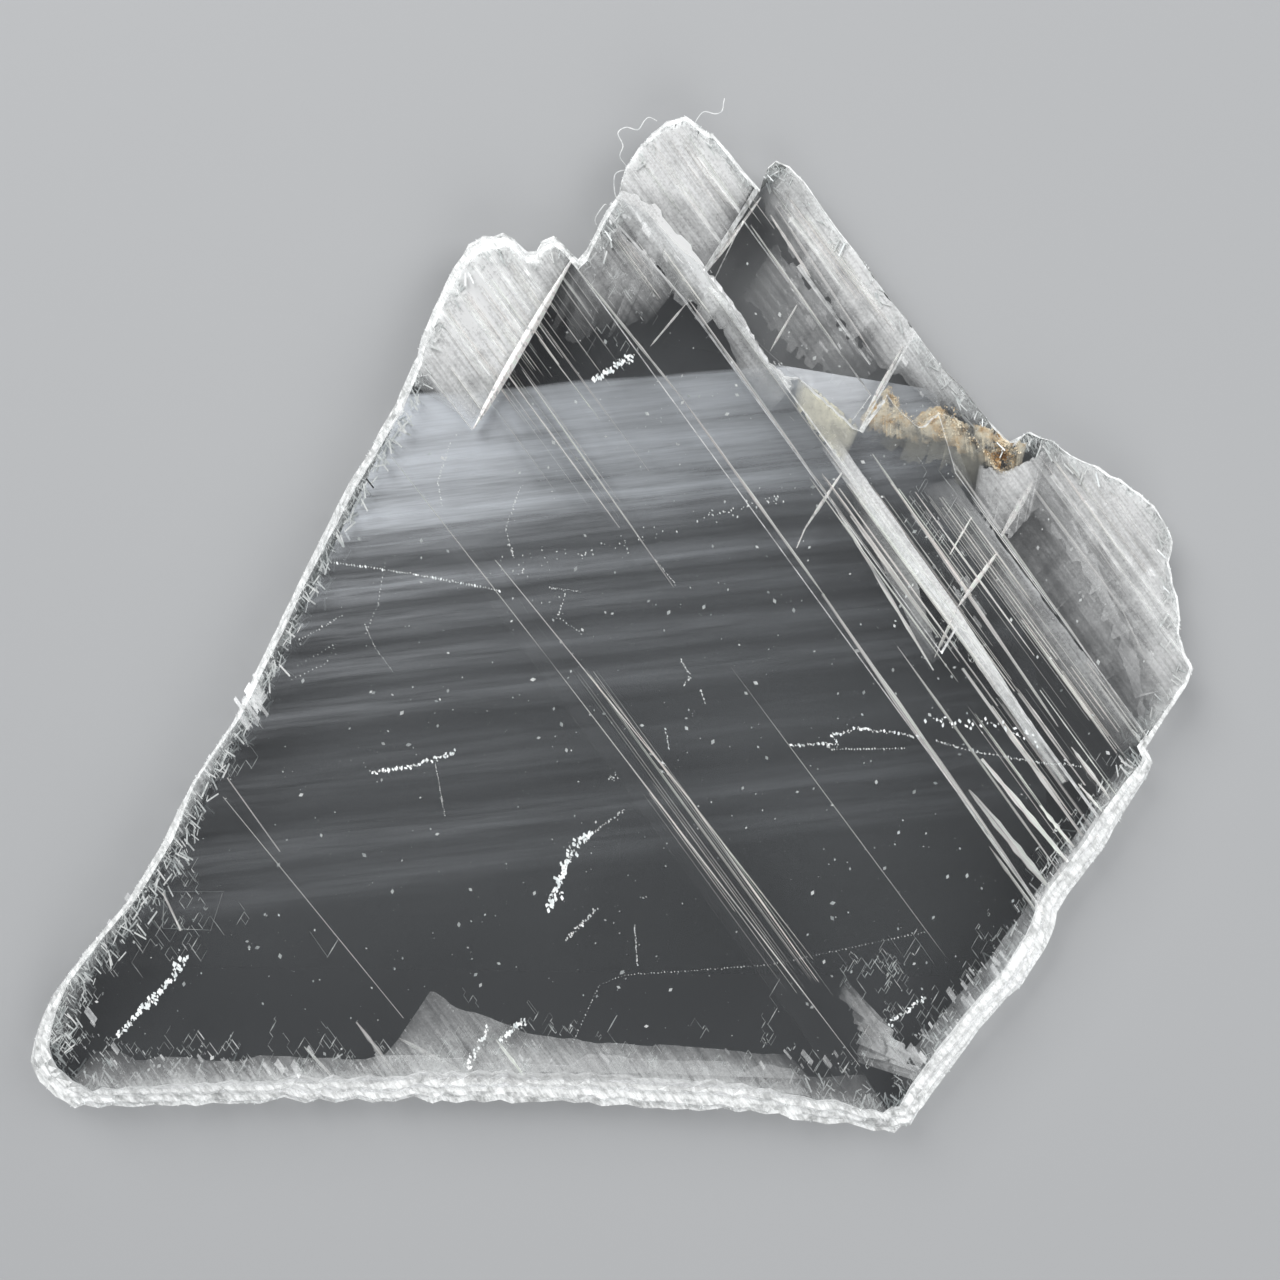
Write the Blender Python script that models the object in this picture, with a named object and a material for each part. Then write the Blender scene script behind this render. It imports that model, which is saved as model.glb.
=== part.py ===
"""A clear selenite slab, split along its perfect cleavage and lying on its back face.

The slab is one crystal. Its outline is broken along two cleavage directions that cross
at 66 degrees, and thin leaves have come off its front, which leaves terraces, narrow
steps and grooves. Lengths here are in millimetres, and MM turns them into metres.
+X runs to the right, +Y to the top of the slab as it is seen from the front, and +Z out
of its front face. The origin is under the middle of the outline, on the back face.
"""

import math
import random

import bmesh
import bpy
import numpy as np
from mathutils import Vector

MM = 0.001
THICKNESS = 7.0
FIBROUS_CLEAVAGE = math.radians(-54.0)
CROSS_CLEAVAGE = math.radians(60.0)
ABOVE_FRONT = 1.0

# The broken outline, clockwise from the lower left corner, one run for each side.
LEFT_EDGE = [
    (-59.6, -44.8), (-58.9, -41.3), (-57.4, -38.0), (-54.1, -33.6), (-50.0, -28.7),
    (-46.3, -22.8), (-43.3, -16.5), (-38.9, -9.9), (-34.5, -0.6), (-31.9, 4.8),
    (-27.1, 14.3), (-22.1, 22.6), (-20.0, 27.5),
]
MILKY_LOBE = [
    (-19.6, 29.3), (-18.5, 31.9), (-16.2, 36.8), (-14.7, 38.9), (-13.2, 39.8),
    (-11.2, 40.1), (-10.0, 39.4), (-9.0, 38.3), (-7.8, 38.3), (-7.2, 39.4),
    (-6.0, 39.9), (-5.0, 39.0), (-3.5, 37.5),
]
TOP_LOBE = [
    (-2.6, 38.5), (-1.6, 40.5), (-0.6, 42.5), (0.8, 44.4), (1.4, 46.9), (2.7, 48.9),
    (4.1, 50.4), (5.6, 51.6), (7.6, 52.1), (8.7, 51.3), (10.4, 50.2), (12.0, 48.4),
    (13.7, 46.2), (15.2, 44.5),
]
THIN_PEAK = [
    (16.0, 46.8), (16.8, 47.5), (18.2, 46.9), (19.7, 45.4), (21.2, 43.2), (23.1, 40.5),
    (25.7, 37.3), (27.9, 34.1), (30.1, 31.4), (32.0, 28.8), (33.9, 26.3), (35.9, 24.3),
    (38.1, 21.5), (39.7, 19.7),
]
RIGHT_LOBE = [
    (41.0, 18.5), (42.0, 18.9), (42.8, 19.7), (44.0, 19.1), (45.4, 18.8), (47.3, 17.3),
    (49.9, 16.1), (52.1, 14.8), (54.0, 13.4), (55.6, 12.0), (56.7, 10.3), (57.5, 8.4),
    (57.1, 6.3), (57.5, 4.1), (58.1, 1.8), (58.1, -1.0), (58.7, -3.2), (59.6, -4.6),
    (59.2, -6.0), (57.7, -8.1), (55.9, -10.9), (54.8, -12.8),
]
LOWER_RIGHT_EDGE = [
    (55.5, -14.1), (54.9, -15.7), (53.1, -18.5), (50.2, -23.2), (48.1, -25.9),
    (45.5, -29.5), (45.3, -30.8), (44.3, -33.2), (41.9, -37.0), (39.1, -40.1),
    (36.4, -43.5), (33.7, -46.9), (31.9, -49.4), (30.7, -51.5),
]
BOTTOM_EDGE = [
    (28.9, -52.1), (26.8, -51.9), (22.0, -51.2), (15.8, -50.4), (8.9, -49.9),
    (-1.1, -49.4), (-13.1, -49.0), (-31.5, -49.3), (-42.6, -49.4), (-55.0, -49.6),
    (-57.0, -48.4), (-58.6, -46.9),
]
OUTLINE = (
    LEFT_EDGE + MILKY_LOBE + TOP_LOBE + THIN_PEAK + RIGHT_LOBE + LOWER_RIGHT_EDGE
    + BOTTOM_EDGE
)

# How the rim leans: height on the slab, and how far it stands in from the outline there.
# Two heights close together make a ledge between two split leaves.
RIM_PROFILE = [
    (0.0, 1.6), (0.7, 0.8), (0.8, 0.4), (2.0, 0.1), (2.1, 0.3), (3.2, 0.0), (3.3, 0.2),
    (4.3, 0.5), (4.4, 0.9), (5.2, 1.2), (5.3, 1.6), (THICKNESS, 2.1),
]
# Above its widest height the rim leans more on some sides: direction from the middle, in
# degrees, and factor.
WIDEST_HEIGHT = 3.2
RIM_LEAN = [
    (0, 0.7), (25, 0.6), (35, 0.4), (65, 0.4), (78, 0.8), (95, 1.0), (112, 1.0),
    (125, 0.7), (200, 0.7), (216, 1.8), (226, 2.0), (240, 1.9), (285, 1.9), (300, 1.6),
    (340, 1.6), (350, 0.8), (360, 0.7),
]
LEDGE_DEPTH = 0.35
LEDGE_RUN = (2, 8)
FIRST_LEDGE_SEED = 40

# How each edge is broken: length of a tooth, its share of the full corner, and a seed.
OUTLINE_BREAK = (3.3, 0.20, 5)
SHELF_BREAK = (1.6, 0.5, 11)
RUSTY_BREAK = (1.4, 0.4, 12)
POCKET_BREAK = (1.2, 0.5, 13)
TOP_LOBE_BREAK = (1.8, 0.3, 14)
TOOTH_SPREAD = 0.3
TOOTH_MIDDLE = (0.35, 0.65)
TOOTH_BITE = (0.1, 1.0)

# Edges of the leaves that are left on the front, from the top downwards.
STEP_ON_TOP_LOBE = [
    (-3.5, 39.5), (-1.6, 41.2), (1.1, 43.1), (3.7, 41.6), (6.7, 38.2), (9.7, 35.9),
]
TOP_LOBE_END = [(15.2, 44.5)]
RAGGED_SHELF = [
    (9.7, 35.9), (10.9, 34.2), (12.7, 32.8), (14.2, 30.7), (15.0, 27.9), (17.7, 25.3),
    (19.1, 25.3), (25.2, 19.8),
]
RUSTY_SHELF = [
    (25.2, 19.8), (27.9, 23.4), (29.1, 21.9), (31.1, 20.1), (33.1, 21.6),
]
POCKET_SHELF = [(33.1, 21.6), (34.8, 21.0), (36.5, 19.4), (38.1, 17.4), (41.0, 18.5)]
CROSS_STEP_TOP = (31.6, 31.2)
POCKET = (39.7, 16.9)
POCKET_RADIUS = 1.5

# The long steps run down the fibrous cleavage: where each starts, and its lower level.
# Each length but that before the jog ends beyond the rim.
FIRST_STEP_START = (-5.5, 38.5)
FIRST_STEP_LENGTH = 95.0
SECOND_STEP_START = (7.3, 32.8)
SECOND_STEP_LENGTH = 44.0
SECOND_STEP_JOG = 3.6
SECOND_STEP_REST = 40.0
THIRD_STEP_START = (18.1, 23.4)
THIRD_STEP_LENGTH = 70.0
RIGHT_STEP_START = (34.9, 15.3)
RIGHT_STEP_LENGTH = 45.0
MILKY_STEP_TOP = (-3.6, 37.6)
MILKY_STEP_LENGTH = 20.8
CROSS_STEP_LENGTH = 20.0
FRONT_LEVELS = {
    "first step": 6.5,
    "second step": 6.0,
    "milky lobe": 6.0,
    "third step": 5.5,
    "top lobe": 5.0,
    "right lobe": 4.8,
    "cross step": 4.1,
    "thin peak": 3.5,
    "window": 3.0,
}
# How far each leaf's edge leans outwards for a millimetre of height.
EDGE_SLOPES = {
    "first step": 0.35,
    "second step": 0.6,
    "third step": 0.5,
    "milky lobe": 0.25,
    "top lobe": 0.25,
    "right lobe": 0.35,
    "cross step": 0.25,
    "thin peak": 0.3,
    "window": 0.2,
}

# Narrow grooves along the fibrous cleavage: start, length, and level of their face.
GROOVE_WIDTH = 0.5
GROOVES = [
    ((-17.8, 32.6), 9.4, "milky lobe"),
    ((-16.2, 34.4), 9.2, "milky lobe"),
    ((-14.4, 37.0), 9.0, "milky lobe"),
    ((-12.2, 37.0), 6.8, "milky lobe"),
    ((-9.8, 37.2), 4.6, "milky lobe"),
    ((8.8, 47.4), 14.0, "top lobe"),
    ((6.7, 44.5), 13.0, "top lobe"),
    ((18.2, 41.5), 9.0, "thin peak"),
    ((19.0, 36.6), 12.5, "thin peak"),
    ((44.6, 15.1), 27.0, "right lobe"),
    ((48.0, 12.6), 22.0, "right lobe"),
]
# On the back a thin lamella has split away, which leaves one long shallow channel.
CHANNEL_START = (-21.0, 16.0)
CHANNEL_LENGTH = 95.0
CHANNEL_WIDTH = 2.6
CHANNEL_DEPTH = 0.4

SELENITE_COLOUR = (0.90, 0.92, 0.92, 1.0)
SELENITE_ROUGHNESS = 0.08
SELENITE_IOR = 1.52


def clear_scene():
    """Starts from an empty scene."""
    for obj in list(bpy.data.objects):
        bpy.data.objects.remove(obj)


def heading(angle):
    """The unit vector in the slab's plane that points along an angle."""
    return Vector((math.cos(angle), math.sin(angle)))


DOWN_FIBRE = heading(FIBROUS_CLEAVAGE)
UP_CROSS = heading(CROSS_CLEAVAGE)


def along(start, direction, length):
    """The point a length away from a start, in the slab's plane."""
    return tuple(Vector(start) + direction * length)


def rim_lean(point):
    """The factor on the rim's lean in the direction of a point, read between the stated ones."""
    turn = math.degrees(math.atan2(point[1], point[0])) % 360
    return float(np.interp(turn, *zip(*RIM_LEAN)))


def ragged(points, pattern, closed=False):
    """Breaks straight runs into unequal teeth that lean towards the two cleavage directions."""
    tooth, bite, seed = pattern
    rng = random.Random(seed)
    ends = points[1:] + points[:1] if closed else points[1:]
    broken = []
    for first, last in zip(points, ends):
        run = Vector(last) - Vector(first)
        teeth = round(run.length / tooth)
        splits = [
            number + rng.uniform(-TOOTH_SPREAD, TOOTH_SPREAD) for number in range(1, teeth)
        ]
        shares = [0.0] + [split / teeth for split in splits] + [1.0]
        for low, high in zip(shares, shares[1:]):
            start = Vector(first) + run * low
            broken.append(tuple(start))
            if not teeth:
                continue
            step = run * (high - low)
            corner = start + DOWN_FIBRE * (step.cross(UP_CROSS) / DOWN_FIBRE.cross(UP_CROSS))
            middle = start + step * rng.uniform(*TOOTH_MIDDLE)
            broken.append(tuple(middle.lerp(corner, bite * rng.uniform(*TOOTH_BITE))))
    return broken if closed else broken + [tuple(points[-1])]


def ledges(count, seed):
    """How far each rim point has broken back, from 0 to 1, held over short uneven runs."""
    rng = random.Random(seed)
    broken_back = []
    while len(broken_back) < count:
        broken_back += [rng.random()] * rng.randint(*LEDGE_RUN)
    return broken_back[:count]


def rim_ring(outline, height, stand_in, seed):
    """The outline at one height, pulled towards the middle by the rim's lean and its ledges."""
    ring = []
    for point, ledge in zip(outline, ledges(len(outline), seed)):
        radius = Vector(point).length
        lean = rim_lean(point) if height > WIDEST_HEIGHT else 1.0
        inwards = stand_in * lean + LEDGE_DEPTH * ledge
        share = 1 - inwards / radius
        ring.append((point[0] * share, point[1] * share, height))
    return ring


def loft(name, rings, collection):
    """A closed solid through rings of equal count, each counter-clockwise seen from above."""
    mesh = bmesh.new()
    loops = [[mesh.verts.new(Vector(point) * MM) for point in ring] for ring in rings]
    for lower, upper in zip(loops, loops[1:]):
        for index in range(len(lower)):
            mesh.faces.new(
                (lower[index - 1], lower[index], upper[index], upper[index - 1])
            )
    mesh.faces.new(loops[0][::-1])
    mesh.faces.new(loops[-1])
    return mesh_object(name, mesh, collection)


def mesh_object(name, mesh, collection):
    """Turns a finished bmesh into a named object in a collection."""
    data = bpy.data.meshes.new(name)
    mesh.to_mesh(data)
    mesh.free()
    obj = bpy.data.objects.new(name, data)
    collection.objects.link(obj)
    return obj


def counter_clockwise(points):
    """The points in the order that makes their area positive."""
    area = sum(
        Vector(first).cross(Vector(last))
        for first, last in zip(points, points[1:] + points[:1])
    )
    return points if area > 0 else points[::-1]


def grown(points, distance):
    """A closed outline with each corner moved outwards along its own bisector."""
    moved = []
    for before, here, after in zip(points[-1:] + points[:-1], points, points[1:] + points[:1]):
        tangent = (Vector(here) - Vector(before)).normalized()
        tangent += (Vector(after) - Vector(here)).normalized()
        tangent.normalize()
        outwards = Vector((tangent.y, -tangent.x))
        moved.append(tuple(Vector(here) + outwards * distance))
    return moved


def as_cutter(obj):
    """Marks an object as a helper that only cuts."""
    obj.hide_render = True
    obj.display_type = "WIRE"
    return obj


def terrace_cutter(name, outline, floor, slope, collection):
    """What came off the front: a prism from a level upwards, wider at the top by its slope."""
    outline = counter_clockwise(outline)
    top = THICKNESS + ABOVE_FRONT
    lower = [(x, y, floor) for x, y in outline]
    upper = [(x, y, top) for x, y in grown(outline, slope * (top - floor))]
    return as_cutter(loft(name, [lower, upper], collection))


def long_step_edge(start, length):
    """A straight step edge down the fibrous cleavage, from a start to beyond the rim."""
    return [start, along(start, DOWN_FIBRE, length)]


def beyond_right():
    """Corners well outside the slab that close a cutter round its upper right."""
    return [(75.0, -35.0), (75.0, 65.0), (-3.5, 65.0)]


def front_cutters(collection):
    """Every leaf that has come off the front, as cutters from the widest to the deepest."""
    second_end = along(SECOND_STEP_START, DOWN_FIBRE, SECOND_STEP_LENGTH)
    second_jog = along(second_end, UP_CROSS, SECOND_STEP_JOG)
    second_edge = [SECOND_STEP_START, second_end]
    second_edge += long_step_edge(second_jog, SECOND_STEP_REST)
    first_edge = long_step_edge(FIRST_STEP_START, FIRST_STEP_LENGTH)
    third_edge = long_step_edge(THIRD_STEP_START, THIRD_STEP_LENGTH)
    right_edge = long_step_edge(RIGHT_STEP_START, RIGHT_STEP_LENGTH)
    shelf = ragged(RAGGED_SHELF, SHELF_BREAK)
    rusty = ragged(RUSTY_SHELF, RUSTY_BREAK)
    pocket_edge = ragged(POCKET_SHELF, POCKET_BREAK)
    top_edge = ragged(STEP_ON_TOP_LOBE, TOP_LOBE_BREAK)
    milky_tip = along(MILKY_STEP_TOP, -UP_CROSS, MILKY_STEP_LENGTH)
    cross_end = along(CROSS_STEP_TOP, UP_CROSS, CROSS_STEP_LENGTH)
    outlines = {
        "first step": first_edge + beyond_right(),
        "second step": [(-3.5, 45.0)] + second_edge + beyond_right(),
        "third step": [(9.0, 37.0)] + third_edge + beyond_right()[:2] + [(9.0, 65.0)],
        "milky lobe": [
            (-3.3, 38.1), milky_tip, (-18.3, 25.1), (-21.0, 24.6), (-30.0, 26.0),
            (-30.0, 52.0), (-3.3, 52.0),
        ],
        "top lobe": top_edge + TOP_LOBE_END + [(24.0, 62.0), (-3.5, 62.0)],
        "right lobe": rusty[-1:] + right_edge + beyond_right()[:2] + [(33.1, 65.0)],
        "cross step": rusty + pocket_edge[1:] + [(60.0, 45.0), (38.0, 45.0), CROSS_STEP_TOP],
        "thin peak": shelf + [CROSS_STEP_TOP, cross_end, (15.2, 65.0)] + TOP_LOBE_END,
        "window": [
            (10.5, 35.2), (14.2, 29.5), (18.0, 26.0), (24.6, 20.9), (26.4, 23.4),
            (13.4, 41.2),
        ],
    }
    return [
        terrace_cutter(
            f"leaf off {name}", outline, FRONT_LEVELS[name], EDGE_SLOPES[name], collection
        )
        for name, outline in outlines.items()
    ]


def groove_cutter(number, start, length, level, collection):
    """A long four-sided bar, turned on edge, that leaves a V groove in one face."""
    mesh = bmesh.new()
    bmesh.ops.create_cone(
        mesh, cap_ends=True, segments=4, radius1=GROOVE_WIDTH / 2 * MM,
        radius2=GROOVE_WIDTH / 5 * MM, depth=length * MM,
    )
    obj = mesh_object(f"groove {number}", mesh, collection)
    middle = along(start, DOWN_FIBRE, length / 2)
    obj.location = Vector((*middle, level)) * MM
    obj.rotation_euler = (0.0, math.pi / 2, FIBROUS_CLEAVAGE)
    return as_cutter(obj)


def channel_cutter(collection):
    """The long shallow channel in the back face, open at its lower end."""
    mesh = bmesh.new()
    bmesh.ops.create_cube(mesh, size=1.0)
    size = Vector((CHANNEL_LENGTH, CHANNEL_WIDTH, 2 * CHANNEL_DEPTH)) * MM
    bmesh.ops.scale(mesh, vec=size, verts=mesh.verts)
    obj = mesh_object("back channel", mesh, collection)
    obj.location = Vector((*along(CHANNEL_START, DOWN_FIBRE, CHANNEL_LENGTH / 2), 0.0)) * MM
    obj.rotation_euler = (0.0, 0.0, FIBROUS_CLEAVAGE)
    return as_cutter(obj)


def pocket_cutter(collection):
    """The small pit that holds the rust, a low rough ball sunk in the right lobe's face."""
    mesh = bmesh.new()
    bmesh.ops.create_icosphere(mesh, subdivisions=2, radius=POCKET_RADIUS * MM)
    obj = mesh_object("rusty pocket", mesh, collection)
    obj.location = Vector((*POCKET, FRONT_LEVELS["right lobe"])) * MM
    return as_cutter(obj)


def cut(obj, cutters):
    """Takes each cutter out of an object with an exact Boolean."""
    for cutter in cutters:
        modifier = obj.modifiers.new(cutter.name, "BOOLEAN")
        modifier.operation = "DIFFERENCE"
        modifier.solver = "EXACT"
        modifier.object = cutter


def selenite_material():
    """Clear, colourless gypsum with a soft polish."""
    material = bpy.data.materials.new("selenite")
    material.use_nodes = True
    shader = material.node_tree.nodes["Principled BSDF"]
    shader.inputs["Base Color"].default_value = SELENITE_COLOUR
    shader.inputs["Roughness"].default_value = SELENITE_ROUGHNESS
    shader.inputs["IOR"].default_value = SELENITE_IOR
    shader.inputs["Transmission Weight"].default_value = 1.0
    return material


def slab(parts, cutters):
    """The whole crystal: a lofted rim with its front leaves, grooves, channel and pocket cut."""
    outline = counter_clockwise(ragged(OUTLINE, OUTLINE_BREAK, closed=True))
    rings = [
        rim_ring(outline, height, stand_in, FIRST_LEDGE_SEED + number)
        for number, (height, stand_in) in enumerate(RIM_PROFILE)
    ]
    obj = loft("selenite_slab", rings, parts)
    grooves = [
        groove_cutter(number, start, length, FRONT_LEVELS[face], cutters)
        for number, (start, length, face) in enumerate(GROOVES)
    ]
    cut(
        obj,
        front_cutters(cutters) + grooves
        + [channel_cutter(cutters), pocket_cutter(cutters)],
    )
    obj.data.materials.append(selenite_material())
    return obj


def main():
    clear_scene()
    parts = bpy.data.collections.new("selenite slab")
    cutters = bpy.data.collections.new("cutters")
    for collection in (parts, cutters):
        bpy.context.scene.collection.children.link(collection)
    slab(parts, cutters)


main()
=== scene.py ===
"""Dresses a clear selenite slab: its crystal, broken rim, cracks, growth bands and stain.

Lengths in the tables are millimetres in the slab's own frame, which is seen from the front:
X runs to the right, Y to the top and Z out of the front face. Pieces are worked out there
and turned into metres when their mesh is made. Two directions rule the slab's pattern: the
fibrous cleavage runs down to the right, and the other cleavage crosses it at 66 degrees.
"""

import math

import bmesh
import bpy
import numpy as np
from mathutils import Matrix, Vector
from mathutils.bvhtree import BVHTree


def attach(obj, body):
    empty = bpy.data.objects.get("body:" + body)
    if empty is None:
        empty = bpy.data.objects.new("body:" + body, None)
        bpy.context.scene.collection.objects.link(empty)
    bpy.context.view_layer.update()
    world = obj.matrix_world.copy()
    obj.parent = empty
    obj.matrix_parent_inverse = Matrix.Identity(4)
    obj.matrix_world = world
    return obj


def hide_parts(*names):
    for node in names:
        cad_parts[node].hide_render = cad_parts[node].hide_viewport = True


bl_info = {
    "name": "Selenite Slab",
    "version": (1, 0, 0),
    "blender": (4, 5, 0),
    "location": "View3D > Sidebar > Selenite",
    "description": "Builds the look of a clear selenite slab around its solid",
    "category": "Object",
}

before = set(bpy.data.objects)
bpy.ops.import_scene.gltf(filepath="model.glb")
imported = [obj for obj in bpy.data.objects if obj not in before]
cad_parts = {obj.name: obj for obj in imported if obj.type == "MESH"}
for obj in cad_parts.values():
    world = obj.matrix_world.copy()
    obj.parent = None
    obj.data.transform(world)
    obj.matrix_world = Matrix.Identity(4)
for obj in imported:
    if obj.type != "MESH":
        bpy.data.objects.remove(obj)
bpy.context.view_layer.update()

MM = 0.001
TINY = 1e-12
SLAB = "selenite_slab"
BODY = "root"


def heading(degrees):
    """The unit vector that points along an angle in the slab's plane."""
    return np.array([math.cos(math.radians(degrees)), math.sin(math.radians(degrees))])


FIBRE_DEGREES = -54.0
CROSS_DEGREES = 60.0
FIBRE = heading(FIBRE_DEGREES)
CROSS = heading(CROSS_DEGREES)

# Bright cracks and step edges down the fibrous cleavage: start, end, width.
FIBRE_LINES = [
    ((-3.5, 35.8), (7.7, 21.9), 0.28),
    ((7.5, 22.1), (21.4, 2.8), 0.36),
    ((21.2, 3.0), (43.3, -29.0), 0.60),
    ((27.0, -5.2), (43.8, -29.4), 0.40),
    ((38.1, -22.5), (43.1, -29.4), 0.35),
    ((7.7, 32.8), (22.1, 12.5), 0.30),
    ((22.1, 12.5), (32.4, -4.7), 0.40),
    ((9.7, 34.0), (25.8, 12.0), 0.15),
    ((24.1, 10.9), (33.0, -1.4), 0.35),
    ((21.9, 18.3), (45.7, -16.0), 0.75),
    ((26.4, 17.2), (45.2, -10.4), 0.40),
    ((28.8, -2.3), (45.4, -25.5), 0.32),
    ((36.1, -16.8), (44.4, -27.0), 0.85),
    ((35.3, -4.5), (47.4, -21.4), 0.42),
    ((41.5, 0.4), (51.1, -13.1), 0.36),
    ((37.2, -13.6), (45.9, -24.0), 0.60),
    ((46.5, -12.5), (50.4, -17.7), 0.45),
    ((47.2, -16.2), (49.6, -19.0), 0.35),
    ((43.1, -18.3), (46.5, -22.5), 0.42),
    ((34.6, 16.5), (54.4, -11.8), 0.32),
    ((42.9, 13.7), (51.7, 1.8), 0.35),
    ((51.7, 1.8), (54.3, -3.7), 0.22),
    ((14.2, 40.8), (23.6, 27.4), 0.30),
    ((16.7, 42.8), (26.8, 27.4), 0.32),
    ((16.2, 41.8), (20.3, 35.5), 0.38),
    ((-22.2, 16.9), (-6.2, -3.7), 0.12),
    ((-6.2, -3.7), (24.9, -44.4), 0.18),
    ((-11.7, 6.4), (7.6, -17.4), 0.15),
    ((7.6, -17.4), (20.7, -35.9), 0.18),
    ((-1.6, -5.5), (20.2, -33.7), 0.16),
    ((12.0, -4.4), (33.5, -33.4), 0.09),
    ((-9.0, 25.5), (6.2, 3.7), 0.20),
    ((-10.6, 25.2), (0.8, 9.6), 0.18),
    ((-7.3, 28.5), (-1.2, 20.5), 0.13),
    ((-38.6, -15.5), (-33.3, -22.9), 0.09),
    ((-39.0, -17.4), (-20.9, -39.6), 0.09),
    ((-25.8, -40.2), (-20.8, -46.8), 0.55),
    ((-21.4, -41.8), (-14.4, -45.6), 0.50),
    ((-11.6, -41.8), (-8.8, -45.4), 0.40),
    ((-31.0, -42.6), (-28.0, -45.8), 0.35),
]
# Bundles of finer lines: the run they start from, shortest and longest, count, widest.
FIBRE_BUNDLES = [
    ((-3.6, -5.4), (-1.0, -4.2), 34.0, 41.0, 7, 0.11),
    ((3.0, -17.0), (5.4, -15.4), 14.0, 26.0, 5, 0.09),
    ((20.0, 15.0), (36.0, 12.0), 10.0, 34.0, 30, 0.22),
    ((36.0, -9.0), (49.0, -4.0), 8.0, 20.0, 24, 0.28),
    ((-18.0, 30.6), (-6.5, 38.3), 5.0, 12.0, 34, 0.20),
    ((-15.5, 26.5), (-10.0, 30.5), 4.0, 9.0, 12, 0.16),
    ((-13.2, 23.6), (-5.2, 33.6), 5.0, 20.0, 10, 0.11),
    ((2.6, 48.0), (10.0, 50.0), 7.0, 12.0, 16, 0.20),
    ((16.5, 44.0), (22.5, 39.0), 7.0, 18.0, 14, 0.14),
    ((43.0, 17.6), (53.0, 12.6), 7.0, 20.0, 20, 0.18),
    ((-1.0, 39.6), (6.0, 37.0), 4.0, 10.0, 10, 0.12),
]
# Cracks along the other cleavage: start, end, width.
CROSS_LINES = [
    ((-3.9, 36.8), (-13.9, 19.6), 0.95),
    ((15.2, 43.6), (9.9, 36.3), 0.45),
    ((29.7, 28.4), (25.6, 20.5), 0.50),
    ((19.0, 32.8), (16.2, 28.0), 0.30),
    ((3.9, 27.9), (7.5, 32.2), 0.25),
    ((19.3, 9.3), (23.2, 15.2), 0.40),
    ((18.6, 7.6), (19.6, 9.9), 0.20),
    ((42.7, 14.4), (39.5, 8.8), 0.80),
    ((39.0, 7.2), (35.0, 1.7), 0.50),
    ((35.0, 1.7), (32.6, -3.4), 0.35),
    ((36.4, 10.8), (34.2, 7.0), 0.22),
    ((-45.0, -27.0), (-43.2, -30.8), 0.14),
]
# The lines of a bundle: how far they stray from its run, and the width of the finest.
BUNDLE_STRAY = 0.8
FINEST_CRACK = 0.05
# The clear crystal over a crack and the crack's depth from top to foot, as the least and
# the most where they vary, and the stations along it.
FIBRE_CRACK_COVER = (0.05, 0.6)
FIBRE_CRACK_DEPTH = (0.3, 1.1)
FIBRE_CRACK_STATIONS = 13
CROSS_CRACK_COVER = 0.15
CROSS_CRACK_DEPTH = 0.8
CROSS_CRACK_STATIONS = 9
# A crack's shape: where its half wave starts and ends, the shares of its run that have to
# be on the slab, the least and the most of its width along it, and the most it leans.
CRACK_ENDS = (0.02, 0.98)
CRACK_CHECKS = (0.03, 0.5, 0.97)
CRACK_UNEVENNESS = (0.65, 1.15)
CRACK_LEAN = 0.5

# Films: stations along and across, thickness, the share of it that is left at a film's
# edges, the stretch of a half wave and its power by which a film fades at its ends, the most
# stations between two steps of a broken edge, and the steps that draw an edge onto the slab.
FILM_STATIONS = (72, 10)
FILM_THICKNESS = 0.1
FILM_EDGE = 0.15
FADE_ENDS = (0.005, 0.995)
FADE_POWER = 0.6
LONGEST_STEP = 4
DRAW_IN_STEPS = 40

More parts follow.
